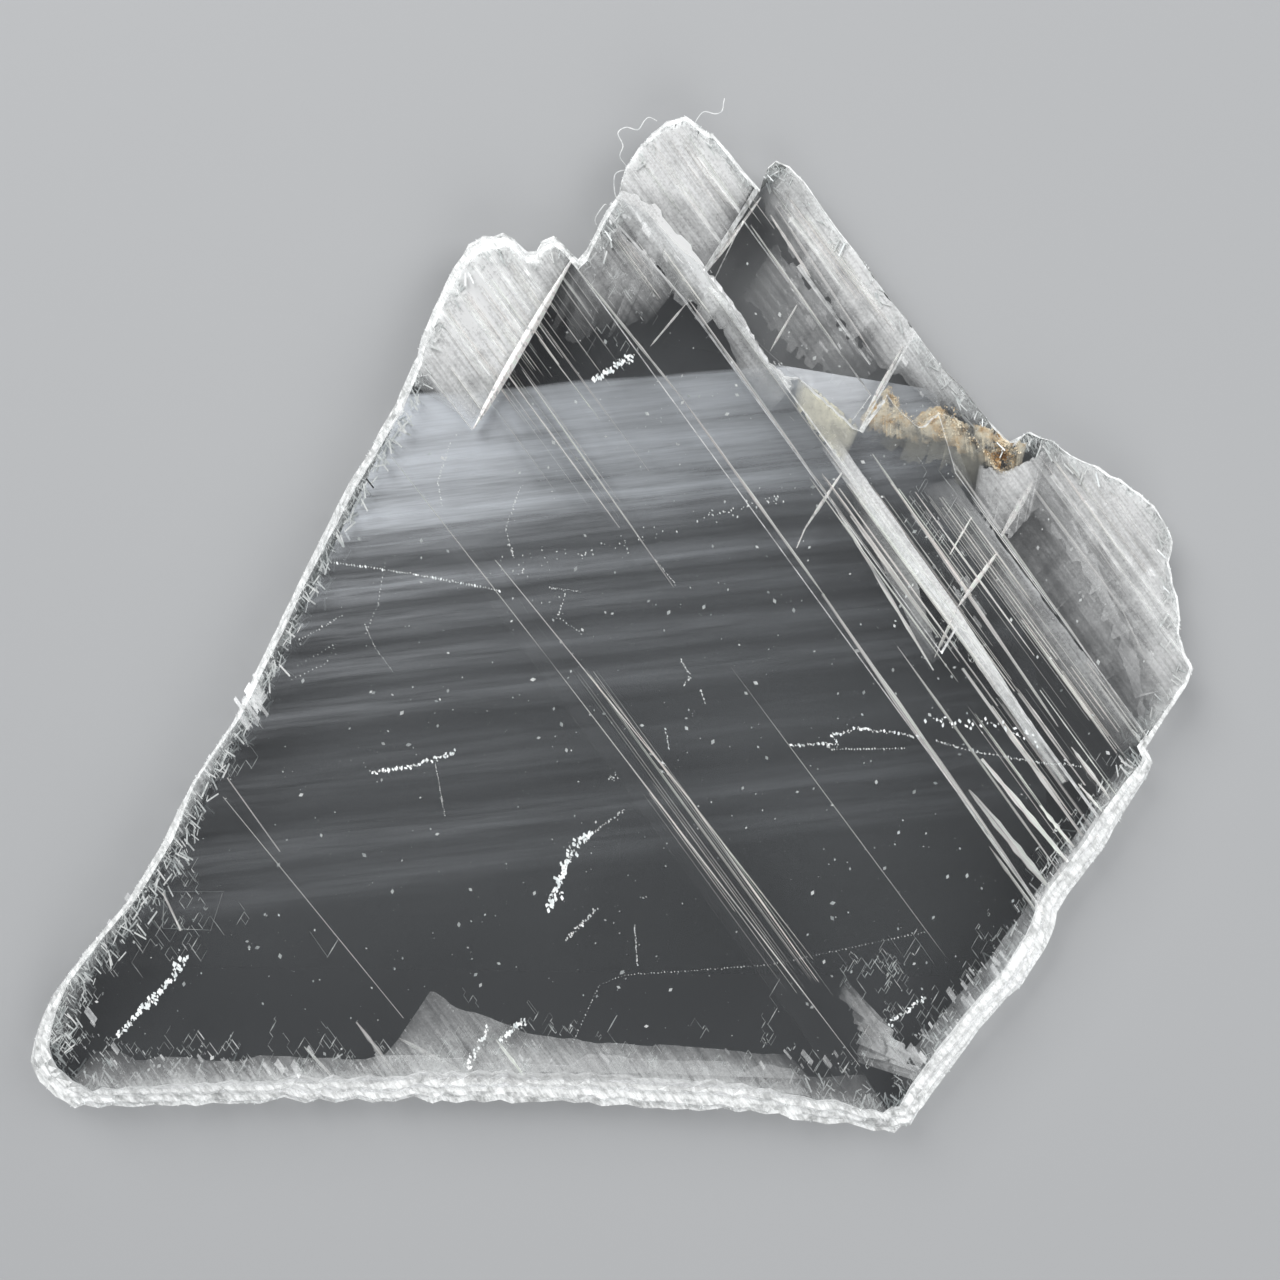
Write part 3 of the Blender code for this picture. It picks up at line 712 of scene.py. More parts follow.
def crack_material(look):
    """Painted reflection and glow: the bright light a crack's two faces throw back, uneven
    along its length.
    """
    nodes = Nodes("bright cracks")
    shade = nodes.noise(
        2.2, detail=2.0, roughness=0.65, stretch=(60.0, 1.0, 1.0), turn=FIBRE_DEGREES
    )
    return nodes.painted({
        "Base Color": nodes.ramp(
            shade, CRACK_TINTS + [(0.54, tuple(look.crack_reflection_white))] + CRACK_GREEN
        ),
        "Roughness": 0.25,
        # Painted glow: the cracks give light of their own, which stands in for the light they
        # throw back.
        "Emission Color": tuple(look.crack_reflection_white),
        "Emission Strength": look.painted_crack_glow,
    })


def silk_material(look):
    """Silky growth bands: a point's height less its distance to the right times the tilt
    there gives its band, and that band's density is broken into long fine streaks."""
    nodes = Nodes("silky bands")
    axes = nodes.add("ShaderNodeSeparateXYZ", sockets={0: nodes.place()})
    x = axes * (1 / MM)
    y = Value(nodes, axes.socket.node.outputs["Y"]) * (1 / MM)
    level = y - x * (BAND_TILT - BAND_TILT_GROWTH * y)
    high, low = BAND_DENSITY[0][0], BAND_DENSITY[-1][0]
    wave = (nodes.noise(0.05, detail=2.0) - 0.5) * BAND_WANDER
    share = (level + wave - low) * (1 / (high - low))
    stops = [((at - low) / (high - low), density) for at, density in BAND_DENSITY[::-1]]
    density = nodes.ramp(share, stops)
    slope = math.degrees(math.atan(BAND_TILT))
    fine = nodes.noise(1.5, detail=3.0, roughness=0.75, stretch=(50.0, 1.0, 1.0), turn=slope)
    patchy = nodes.noise(0.045, detail=3.0)
    streaks = nodes.ramp(fine, SILK_STREAKS)
    even = streaks + (1.0 - streaks) * density * BAND_EVENNESS
    cover = density * even * nodes.ramp(patchy, SILK_PATCHES)
    return nodes.painted({
        "Base Color": tuple(look.silk_colour),
        "Roughness": 0.6,
        "Alpha": (cover * nodes.attribute("cover") * look.silk_cover).clamped(),
    })


def milk_material(look):
    """Milky films, clouded and streaked down the fibrous cleavage."""
    nodes = Nodes("milky films")
    streaks = nodes.noise(
        2.0, detail=3.0, roughness=0.7, stretch=(22.0, 1.0, 1.0), turn=FIBRE_DEGREES
    )
    clouds = nodes.noise(0.28, detail=3.0, roughness=0.6)
    grains = nodes.noise(3.5, detail=1.0, roughness=0.6)
    cover = (
        nodes.attribute("cover")
        * nodes.ramp(streaks, MILK_STREAKS)
        * nodes.ramp(clouds, MILK_CLOUDS)
        * nodes.ramp(grains, MILK_GRAINS)
    )
    return nodes.painted({
        "Base Color": tuple(look.milk_colour),
        "Roughness": 0.5,
        "Alpha": (cover * look.milk_cover).clamped(),
    })


def rust_material(look):
    """Iron stain from pale tan over orange to dark brown, darker where it lies thicker."""
    nodes = Nodes("iron stain")
    clouds = nodes.noise(0.9, roughness=0.7)
    patches = nodes.ramp(nodes.noise(0.7, roughness=0.65), RUST_PATCHES)
    cover = nodes.attribute("cover")
    return nodes.painted({
        "Base Color": nodes.ramp(
            clouds - cover * RUST_DARKENING, [(0.18, tuple(look.stain_colour))] + RUST_TANS
        ),
        "Roughness": 0.9,
        "Alpha": (cover * patches).clamped(),
        "Normal": nodes.bump(clouds, strength=0.5, distance=0.1),
    })


def shelf_material(look):
    """The pale yellow tinge of the shelf beside the stain."""
    nodes = Nodes("yellow tinge")
    clouds = nodes.ramp(nodes.noise(0.6, detail=3.0, roughness=0.6), TINGE_CLOUDS)
    return nodes.painted({
        "Base Color": tuple(look.tinge_colour),
        "Roughness": 0.6,
        "Alpha": (nodes.attribute("cover") * clouds).clamped(),
    })


def lint_material():
    """Pale lint with a faint sheen, light and dark along each fibre."""
    nodes = Nodes("pale lint")
    shade = nodes.ramp(nodes.noise(1.5, detail=2.0), LINT_GREYS)
    return nodes.painted({"Base Color": shade, "Roughness": 0.55})


def floor_material(look):
    """A plain pale sheet."""
    nodes = Nodes("pale floor")
    return nodes.painted({"Base Color": tuple(look.floor_colour), "Roughness": 0.9})


def between(limits, share):
    """The lower limit plus a share of the way to the upper one."""
    return limits[0] + (limits[1] - limits[0]) * share


def resampled(points, count):
    """Points at even lengths along a polyline: each axis is read between the corners."""
    points = np.asarray(points, float)
    legs = np.linalg.norm(np.diff(points, axis=0), axis=1)
    travelled = np.concatenate([[0.0], np.cumsum(legs)])
    wanted = np.linspace(0.0, travelled[-1], count)
    axes = range(points.shape[1])
    return np.stack([np.interp(wanted, travelled, points[:, axis]) for axis in axes], 1)


def tube_faces(stations, sides):
    """Faces of a closed tube whose points are numbered side by side, station by station."""
    station, side = np.meshgrid(np.arange(stations - 1), np.arange(sides), indexing="ij")
    here = station * sides + side
    beside = station * sides + (side + 1) % sides
    walls = np.stack([here, beside, beside + sides, here + sides], -1).reshape(-1, 4)
    last = (stations - 1) * sides
    ends = [list(range(sides))[::-1], list(range(last, last + sides))]
    return walls.tolist() + ends


BLOCK_CORNERS = 8
BLOCK_FACES = [(0, 2, 3, 1), (4, 5, 7, 6), (0, 1, 5, 4), (2, 6, 7, 3), (0, 4, 6, 2),
               (1, 3, 7, 5)]


def blocks(centres, lengths, widths, heights, turns):
    """Cleavage blocks: centre plus or minus half a step along each of the two cleavages,
    turned in the plane by their own angle, and half the height up and down."""
    signs = np.array([(a, b, c) for c in (-1, 1) for b in (-1, 1) for a in (-1, 1)]) / 2
    turned = [
        np.stack([np.cos(turns + angle), np.sin(turns + angle)], -1)
        for angle in (math.radians(FIBRE_DEGREES), math.radians(CROSS_DEGREES))
    ]
    offsets = (
        signs[None, :, 0, None] * (turned[0] * lengths[:, None])[:, None]
        + signs[None, :, 1, None] * (turned[1] * widths[:, None])[:, None]
    )
    points = np.empty((len(centres), BLOCK_CORNERS, 3))
    points[..., :2] = centres[:, None, :2] + offsets
    points[..., 2] = centres[:, None, 2] + signs[None, :, 2] * heights[:, None]
    return points


def bars(starts, ends, widths, tops, depths, rng, stations):
    """Points and faces of thin tapered bars, each a diamond section carried straight on.

    Half the width goes to each side and swells as the square root of a sine along the bar,
    times a seeded unevenness. The section's top lies at the bar's top height and its foot a
    depth below, and the section leans to one side by up to half its width.
    """
    count = len(starts)
    along = np.linspace(0.0, 1.0, stations)
    swell = np.sqrt(np.sin(np.pi * between(CRACK_ENDS, along)))
    runs = ends - starts
    across = np.stack([-runs[:, 1], runs[:, 0]], -1)
    across /= np.linalg.norm(across, axis=1, keepdims=True) + TINY
    centres = starts[:, None] + runs[:, None] * along[None, :, None]
    half = widths[:, None] / 2 * swell * rng.uniform(*CRACK_UNEVENNESS, (count, stations))
    lean = rng.uniform(-CRACK_LEAN, CRACK_LEAN, count)[:, None, None]
    aside = np.array([-1.0, 0.0, 1.0, 0.0])
    down = np.array([0.5, 0.0, 0.5, 1.0])
    shift = half[..., None] * aside + lean * widths[:, None, None] * (down - 0.5)
    points = np.empty((count, stations, len(aside), 3))
    points[..., :2] = centres[:, :, None] + across[:, None, None] * shift[..., None]
    points[..., 2] = tops[:, None, None] - depths[:, None, None] * down
    return points.reshape(count, -1, 3), tube_faces(stations, len(aside))


def stepped(count, most, rng):
    """Random amounts up to a most, each held over a short run, as a broken edge steps."""
    runs = rng.integers(1, LONGEST_STEP + 1, count)
    return np.repeat(rng.uniform(-most, most, count), runs)[:count]


def drawn_in(outer, inner):
    """The outer edge, each point moved in by small steps until it is on the slab."""
    step = (inner - outer) / DRAW_IN_STEPS
    for _ in range(DRAW_IN_STEPS):
        off = np.isnan(front_heights(outer))[:, None]
        outer = outer + off * step
    return outer


def film(outer, inner, height, dense, thin, rough=(0.0, 0.0), stations=FILM_STATIONS,
         fall=0.0):
    """A closed film ruled between two edges, and how dense it is at each of its points.

    A point is the outer edge's plus a share of the way to the inner edge's, and each edge is
    broken along the other cleavage, by steps seeded from where the film starts. The section
    goes out along the film's top and back along its underside, and is thickest halfway, as a
    sine. The film is lower by the fall at its inner edge, and sinks where the front is lower
    than it. The density goes from the outer edge's value to the inner edge's as a cosine, and
    fades at both ends as a power of a sine.
    """
    lengthwise, crosswise = stations
    rng = np.random.default_rng(int(1000 * abs(outer[0][0]) + lengthwise))
    outer, inner = resampled(outer, lengthwise), resampled(inner, lengthwise)
    outer = outer + CROSS * stepped(lengthwise, rough[0], rng)[:, None]
    inner = inner + CROSS * stepped(lengthwise, rough[1], rng)[:, None]
    outer = drawn_in(outer, inner)
    share = np.linspace(0.0, 1.0, crosswise)
    section = np.concatenate([share, share[::-1]])
    side = np.repeat([1.0, -1.0], crosswise)
    lens = between((FILM_EDGE, 1.0), np.sin(np.pi * section))
    points = np.empty((lengthwise, 2 * crosswise, 3))
    points[..., :2] = outer[:, None] + (inner - outer)[:, None] * section[None, :, None]
    fronts = front_heights(points[..., :2].reshape(-1, 2)).reshape(lengthwise, -1)
    middles = np.fmin(height - fall * section, fronts - FILM_THICKNESS)
    points[..., 2] = middles + side * lens * FILM_THICKNESS / 2
    density = between((thin, dense), (1 + np.cos(np.pi * section)) / 2)
    ends = np.sin(np.pi * np.linspace(*FADE_ENDS, lengthwise)) ** FADE_POWER
    return points.reshape(-1, 3), (density[None] * ends[:, None]).reshape(-1)


def lint_tube(points):
    """Points and faces of a round tube: a circle in the plane square to the path at each of
    its points, whose radius goes down at both ends as a power of a sine."""
    ahead = np.gradient(points, axis=0)
    ahead /= np.linalg.norm(ahead, axis=1, keepdims=True)
    sideways = np.stack([-ahead[:, 1], ahead[:, 0], 0 * ahead[:, 0]], -1)
    sideways /= np.linalg.norm(sideways, axis=1, keepdims=True)
    upwards = np.cross(ahead, sideways)
    turn = np.linspace(0, 2 * np.pi, LINT_SIDES, endpoint=False)
    circle = (
        np.cos(turn)[None, :, None] * sideways[:, None]
        + np.sin(turn)[None, :, None] * upwards[:, None]
    )
    taper = np.sin(np.pi * np.linspace(*LINT_ENDS, len(points))) ** LINT_BLUNTNESS
    rings = points[:, None] + circle * LINT_RADIUS * taper[:, None, None]
    return rings.reshape(-1, 3), tube_faces(len(points), LINT_SIDES)


def curled(points, each=8):
    """A smooth path through points: each gap is a cubic whose ends share their slopes."""
    points = np.asarray(points, float)
    padded = np.concatenate([points[:1], points, points[-1:]])
    t = np.linspace(0.0, 1.0, each, endpoint=False)[None, :, None]
    a, b, c, d = (padded[k : len(padded) - 3 + k, None] for k in range(4))
    path = 0.5 * (
        2 * b + (c - a) * t + (2 * a - 5 * b + 4 * c - d) * t**2
        + (3 * b - a - 3 * c + d) * t**3
    )
    return np.concatenate([path.reshape(-1, points.shape[1]), points[-1:]])


def threes(items, name, kind=float):
    """One value of three numbers from every item of a mesh, as an array with a row for each."""
    values = np.empty(len(items) * 3, kind)
    items.foreach_get(name, values)
    return values.reshape(-1, 3)


def slab_triangles():
    """The solid's triangles in millimetres, as one array, with their normals and areas."""
    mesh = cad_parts[SLAB].data
    mesh.calc_loop_triangles()
    corners = threes(mesh.loop_triangles, "vertices", int)
    triangles = threes(mesh.vertices, "co")[corners] / MM
    normals = np.cross(triangles[:, 1] - triangles[:, 0], triangles[:, 2] - triangles[:, 0])
    areas = np.linalg.norm(normals, axis=1) / 2
    return triangles, normals / (2 * areas[:, None] + TINY), areas


TRIANGLES, NORMALS, AREAS = slab_triangles()
FACE_TREE = BVHTree.FromPolygons(
    [tuple(point) for point in TRIANGLES.reshape(-1, 3)],
    [(i, i + 1, i + 2) for i in range(0, 3 * len(TRIANGLES), 3)],
)


def front_heights(points):
    """The front face's height over each point, and NaN where the point is off the slab."""
    down = Vector((0, 0, -1))
    hits = [FACE_TREE.ray_cast(Vector((x, y, ABOVE_ALL)), down)[0] for x, y in points]
    heights = np.array([hit.z if hit else np.nan for hit in hits])
    return np.where(heights > LOWEST_FRONT, heights, np.nan)


def on_slab(places, *others):
    """The places that are on the slab, the front's height there, and their other values."""
    fronts = front_heights(places)
    kept = ~np.isnan(fronts)
    return places[kept], fronts[kept], *(values[kept] for values in others)


def lines_on_slab(starts, ends, *others):
    """The lines that are on the slab near both ends and halfway, the lowest height of the
    front at those three places, and the lines' other values."""
    heights = [front_heights(between((starts, ends), share)) for share in CRACK_CHECKS]
    lowest = np.min(heights, 0)
    kept = ~np.isnan(lowest)
    return starts[kept], ends[kept], lowest[kept], *(values[kept] for values in others)


def make_piece(name, points, faces, material, density=None, shades=True):
    """Makes a mesh piece from one point array for each like shape and their shared faces."""
    points = np.asarray(points, float)
    points = points.reshape(-1, points.shape[-2], 3) if points.ndim > 2 else points[None]
    count = points.shape[1]
    every = [
        tuple(corner + shape * count for corner in face)
        for shape in range(len(points))
        for face in faces
    ]
    mesh = bpy.data.meshes.new(name)
    mesh.from_pydata((points.reshape(-1, 3) * MM).tolist(), [], every)
    if density is not None:
        values = mesh.attributes.new("cover", "FLOAT", "POINT")
        values.data.foreach_set("value", np.asarray(density, np.float32).reshape(-1))
    face_outwards(mesh)
    mesh.materials.append(material)
    piece = bpy.data.objects.new(name, mesh)
    bpy.context.scene.collection.objects.link(piece)
    piece.visible_shadow = shades
    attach(piece, BODY)


def face_outwards(mesh, merge=0.0):
    """Merges a closed mesh's corners within a distance, and turns its faces to point out."""
    work = bmesh.new()
    work.from_mesh(mesh)
    if merge:
        bmesh.ops.remove_doubles(work, verts=work.verts, dist=merge)
    bmesh.ops.recalc_face_normals(work, faces=work.faces)
    work.to_mesh(mesh)
    work.free()


def near_rim(places):
    """Which places have open air within the rim's reach in one of eight directions."""
    ways = [heading(turn) * RIM_REACH for turn in range(0, 360, 45)]
    return np.isnan([front_heights(places + way) for way in ways]).any(0)


def make_crystal_body(look):
    """The clear crystal: the solid's own faces, merged, with frost on the broken ones."""
    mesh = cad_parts[SLAB].data.copy()
    mesh.name = "crystal"
    face_outwards(mesh, MERGE_DISTANCE * MM)
    flatness = np.abs(threes(mesh.polygons, "normal")[:, 2])
    middles = threes(mesh.polygons, "center")[:, :2] / MM
    haze = np.where((flatness < STEEPEST_HAZY) | near_rim(middles), 1.0, HAZE)
    clear = flatness > FLATTEST_BROKEN
    clear |= np.linalg.norm(middles - RUST_POCKET, axis=1) < RUST_POCKET_RADIUS
    frost = mesh.attributes.new("frost", "FLOAT", "FACE")
    frost.data.foreach_set("value", np.where(clear, 0.0, haze).astype(np.float32))
    mesh.polygons.foreach_set("use_smooth", np.zeros(len(mesh.polygons), bool))
    mesh.materials.clear()
    mesh.materials.append(crystal_material(look))
    piece = bpy.data.objects.new("crystal", mesh)
    bpy.context.scene.collection.objects.link(piece)
    piece.visible_shadow = False
    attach(piece, BODY)
    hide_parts(SLAB)


def rim_share():
    """Each triangle's area if it is a steep face with open air beside it, or else nothing."""
    steep = np.abs(NORMALS[:, 2]) < RIM_STEEPNESS
    beside = TRIANGLES.mean(1)[:, :2] + NORMALS[:, :2] * RIM_REACH
    return AREAS * steep * np.isnan(front_heights(beside))


def make_rim_splinters(look):
    """Thin rhombic leaves crushed into the rim, deepest where the white rim is widest.

    Each starts at a random point of a rim triangle, drawn by its area, and sinks into the
    slab. Sizes and depths grow as the square of a draw, so that small, shallow ones prevail.
    """
    rng = np.random.default_rng(look.seed)
    weights = rim_share()
    count = look.splinters
    picked = rng.choice(len(weights), count, p=weights / weights.sum())
    shares = rng.dirichlet((1, 1, 1), count)
    places = (TRIANGLES[picked] * shares[..., None]).sum(1)
    turn = np.degrees(np.arctan2(places[:, 1], places[:, 0])) % 360
    reach = np.interp(turn, *np.transpose(RIM_WHITE))
    on_top = rng.random(count) < SPLINTERS_ON_TOP
    size = rng.random(count) ** 2 * np.where(on_top, TOP_SPLINTER_SIZE, 1.0)
    inside = SPLINTER_COVER + size * SPLINTER_SINK + reach * rng.random(count) ** 2
    sunk = np.where(on_top, TOP_SPLINTER_SINK * size, inside)
    outwards = NORMALS[picked, :2] / np.linalg.norm(NORMALS[picked, :2], axis=1)[:, None]
    places[:, :2] -= outwards * sunk[:, None]
    along = rng.random(count) < SPLINTERS_ALONG
    long, short = between(SPLINTER_LENGTH, size), between(SPLINTER_WIDTH, size)
    points = blocks(
        places,
        np.where(along, long, short),
        np.where(along, short, long),
        rng.uniform(*SPLINTER_THICKNESS, count),
        rng.normal(0, SPLINTER_TURN, count),
    )
    points[..., 2] = np.clip(points[..., 2], *SPLINTER_HEIGHTS)
    make_piece("rim_splinters", points, BLOCK_FACES, splinter_material(look))


def make_fibre_lines(look):
    """Cracks down the fibrous cleavage: the long bright ones, and bundles of lines that
    start near a run and whose widths grow as the square of a draw."""
    rng = np.random.default_rng(look.seed + 1)
    starts, ends, widths = (list(values) for values in zip(*FIBRE_LINES))
    for first, last, shortest, longest, count, widest in FIBRE_BUNDLES:
        stray = rng.uniform(-BUNDLE_STRAY, BUNDLE_STRAY, (count, 2))
        begin = resampled([first, last], count) + stray
        reach = rng.uniform(shortest, longest, (count, 1))
        starts += begin.tolist()
        ends += (begin + FIBRE * reach).tolist()
        widths += between((FINEST_CRACK, widest), rng.random(count) ** 2).tolist()
    starts, ends, fronts, widths = lines_on_slab(*map(np.array, (starts, ends, widths)))
    tops = fronts - rng.uniform(*FIBRE_CRACK_COVER, len(starts))
    depths = rng.uniform(*FIBRE_CRACK_DEPTH, len(starts))
    shape = bars(starts, ends, widths, tops, depths, rng, FIBRE_CRACK_STATIONS)
    make_piece("fibre_cracks", *shape, crack_material(look))


def make_cross_lines(look):
    """Cracks along the other cleavage, each a line of its own."""
    rng = np.random.default_rng(look.seed + 2)
    starts, ends, fronts, widths = lines_on_slab(*map(np.array, zip(*CROSS_LINES)))
    tops = fronts - CROSS_CRACK_COVER
    depths = np.full(len(starts), CROSS_CRACK_DEPTH)
    shape = bars(starts, ends, widths, tops, depths, rng, CROSS_CRACK_STATIONS)
    make_piece("cross_cracks", *shape, crack_material(look))


def make_crazing(look):
    """Zigzag cracks near the rim, whose legs follow the two cleavages in turn, each a share
    of its figure's size either way, and the etched figures."""
    rng = np.random.default_rng(look.seed + 3)
    starts, ends = [], []
    for run, count, leg, legs in CRAZING:
        origins = resampled(run, count) + rng.normal(0, CRAZING_STRAY, (count, 2))
        size = leg * rng.uniform(*CRAZING_SIZE, (count, 1, 1))
        odd = (np.arange(legs)[None] + rng.integers(0, 2, (count, 1))) % 2
        ways = np.where(odd[..., None], FIBRE, CROSS) * rng.choice([-1, 1], (count, 1, 1))
        steps = ways * rng.uniform(*CRAZING_LEG, (count, legs, 1)) * size
        steps *= rng.choice([-1, 1, 1], (count, legs, 1))
        corners = origins[:, None] + np.cumsum(steps, 1)
        starts.append(np.concatenate([origins[:, None], corners[:, :-1]], 1).reshape(-1, 2))
        ends.append(corners.reshape(-1, 2))
    for figure in ETCH_FIGURES:
        starts.append(np.array(figure[:-1]))
        ends.append(np.array(figure[1:]))
    starts, ends, fronts = lines_on_slab(np.concatenate(starts), np.concatenate(ends))
    count = len(starts)
    tops = fronts - rng.uniform(*CRAZING_COVER, count)
    widths = between(CRAZING_WIDTH, rng.random(count) ** 2)
    depths = np.full(count, CRAZING_DEPTH)
    shape = bars(starts, ends, widths, tops, depths, rng, CRAZING_STATIONS)
    make_piece("crazing", *shape, splinter_material(look), shades=False)


def film_faces(stations):
    """Faces of a film: a closed tube that goes round it, over its top and its underside."""
    return tube_faces(stations[0], 2 * stations[1])


def make_films(name, zones, material):
    """One piece out of a film for each zone."""
    points, density = map(np.stack, zip(*(film(*zone) for zone in zones)))
    make_piece(name, points, film_faces(FILM_STATIONS), material, density)


def make_silky_bands(look):
    """The veil that carries the growth bands, ruled from the left rim to the right."""
    points, density = film(BAND_LEFT, BAND_RIGHT, BAND_HEIGHT, *BAND_SIDES,
                           stations=BAND_STATIONS, fall=BAND_FALL)
    make_piece("silky_bands", points, film_faces(BAND_STATIONS), silk_material(look),
               np.maximum(density, BAND_LEAST), shades=False)


def make_milky_zones(look):
    """The milky films in the lobes, under the front leaf and along the rim."""
    make_films("milky_zones", MILKY_ZONES.values(), milk_material(look))


def make_flakes(look):
    """Thin rhombic flakes split loose inside, each as dense as its own share of its run's.

    They stray from their run, their sizes grow as the cube of a draw, and each tilts, so that
    a corner's height changes with its distance from the middle.
    """
    rng = np.random.default_rng(look.seed + 7)
    places, longest, covers = [], [], []
    for run, spread, count, length, cover in FLAKES:
        places.append(resampled(run, count) + rng.normal(0, spread, (count, 2)))
        longest.append(np.full(count, length))
        covers.append(cover * rng.uniform(*FLAKE_DENSITY, count))
    places, fronts, longest, covers = on_slab(*map(np.concatenate, (places, longest, covers)))
    count = len(places)
    sizes = longest * between(FLAKE_SIZE, rng.random(count) ** 3)
    heights = fronts * rng.uniform(*FLAKE_LEVEL, count)
    points = blocks(
        np.column_stack([places, heights]),
        sizes,
        sizes * rng.uniform(*FLAKE_WIDTH, count),
        np.full(count, FLAKE_THICKNESS),
        rng.normal(0, FLAKE_TURN, count),
    )
    tilt = rng.normal(0, FLAKE_TILT, (count, 1, 2))
    away = points[..., :2] - places[:, None]
    points[..., 2] += (away * tilt).sum(-1)
    points[..., 2] = np.clip(points[..., 2], FLAKE_UNDER, fronts[:, None] - FLAKE_OVER)
    density = np.repeat(covers, BLOCK_CORNERS)
    make_piece("flakes", points, BLOCK_FACES, milk_material(look), density, shades=False)


def make_bruises(look):
    """Crushed trails and scratches on the front, as crumbs that stray from their paths."""
    rng = np.random.default_rng(look.seed + 4)
    places, sizes = [], []
    for path, spread, count, size in TRAILS:
        along = resampled(path, count)
        places.append(along + rng.normal(0, spread / 2, (count, 2)))
        sizes.append(size * rng.uniform(*CRUMB_SIZE, count))
    places, fronts, sizes = on_slab(np.concatenate(places), np.concatenate(sizes))
    centres = np.column_stack([places, fronts - CRUMB_SINK])
    turns = rng.normal(0, CRUMB_TURN, len(sizes))
    points = blocks(centres, sizes, sizes * CRUMB_WIDTH, sizes * CRUMB_HEIGHT, turns)
    make_piece("bruises", points, BLOCK_FACES, splinter_material(look))


def make_specks(look):
    """Fine specks at all depths of the slab, with sizes that grow as a draw's fifth power."""
    rng = np.random.default_rng(look.seed + 5)
    places, fronts = on_slab(rng.uniform(*SPECK_FIELD, (look.specks, 2)))
    count = len(places)
    heights = fronts * rng.uniform(*SPECK_LEVEL, count)
    sizes = between(SPECK_SIZE, rng.random(count) ** 5)
    centres = np.column_stack([places, heights])
    points = blocks(centres, sizes, sizes, sizes * SPECK_HEIGHT, rng.normal(0, 1, count))
    make_piece("specks", points, BLOCK_FACES, splinter_material(look), shades=False)


def make_stain(look):
    """The iron stain: films under the ragged shelf, the pale tinge beside them, and crumbs
    along their trail and in fans round the pocket."""
    rust = rust_material(look)
    make_films("stain_films", RUST_FILMS, rust)
    make_films("tinged_shelves", TINGED_SHELVES, shelf_material(look))
    rng = np.random.default_rng(look.seed + 6)
    stray = rng.normal(0, RUST_TRAIL_STRAY, (look.lumps, 2))
    places = [resampled(RUST_TRAIL, look.lumps) + stray]
    covers = [np.full(look.lumps, RUST_TRAIL_COVER)]
    for centre, nearest, farthest, turns, count, cover in RUST_FANS:
        turn = np.radians(rng.uniform(*turns, count))
        reach = between((nearest, farthest), rng.random(count) ** 0.8)
        places.append(centre + reach[:, None] * np.column_stack([np.cos(turn), np.sin(turn)]))
        covers.append(np.full(count, cover))
    places, fronts, covers = on_slab(np.concatenate(places), np.concatenate(covers))
    sizes = between(RUST_SIZE, rng.random(len(places)) ** 2)
    centres = np.column_stack([places, fronts - sizes * RUST_SINK])
    turns = rng.normal(0, 1, len(sizes))
    points = blocks(centres, sizes, sizes * RUST_WIDTH, sizes * RUST_HEIGHT, turns)
    make_piece("stain_lumps", points, BLOCK_FACES, rust, np.repeat(covers, BLOCK_CORNERS))


def make_lint():
    """Lint caught on the top lobe, each a fine tube along its curl, rising as a sine."""
    material = lint_material()
    for number, points in enumerate(LINT, 1):
        path = curled(points)
        rise = LINT_HEIGHT + LINT_WAVE * np.sin(np.linspace(0, LINT_WAVE_TURN, len(path)))
        make_piece(f"lint_{number}", *lint_tube(np.column_stack([path, rise])), material)


def make_stage(look):
    """The pale floor, the soft lights and the camera that looks straight down."""
    scene = bpy.context.scene
    bpy.ops.mesh.primitive_plane_add(size=look.floor_size, location=(0, 0, -FLOOR_DROP * MM))
    floor = bpy.context.object
    floor.name = "floor"
    floor.data.materials.append(floor_material(look))
    world = bpy.data.worlds.new("soft room")
    world.use_nodes = True
    background = world.node_tree.nodes["Background"]
    background.inputs["Color"].default_value = tuple(look.room_colour)
    background.inputs["Strength"].default_value = look.room_strength
    scene.world = world
    for name, azimuth, elevation, distance, size, share in LAMPS:
        lamp = bpy.data.lights.new(name, "AREA")
        lamp.size = size
        lamp.energy = look.key_power * share
        light = bpy.data.objects.new(name, lamp)
        light.visible_glossy = False
        turn, rise = math.radians(azimuth), math.radians(elevation)
        light.location = distance * Vector(
            (math.cos(turn) * math.cos(rise), math.sin(turn) * math.cos(rise), math.sin(rise))
        )
        light.rotation_euler = light.location.to_track_quat("Z", "Y").to_euler()
        scene.collection.objects.link(light)
    lens = bpy.data.cameras.new("overhead")
    lens.lens = look.lens
    lens.sensor_width = SENSOR_WIDTH
    camera = bpy.data.objects.new("overhead", lens)
    camera.location = Vector(VIEW_CENTRE) * MM + Vector((0, 0, look.camera_height))
    scene.collection.objects.link(camera)
    scene.camera = camera
    scene.view_settings.view_transform = "Standard"
    scene.cycles.caustics_reflective = False
    scene.cycles.caustics_refractive = False
    scene.cycles.max_bounces = look.bounces
    scene.cycles.transparent_max_bounces = look.layers


def colour(name, value, description):
    """A colour property, from its name, default and description."""
    return bpy.props.FloatVectorProperty(
        name=name, description=description, default=value, size=4, subtype="COLOR", min=0, max=1
    )


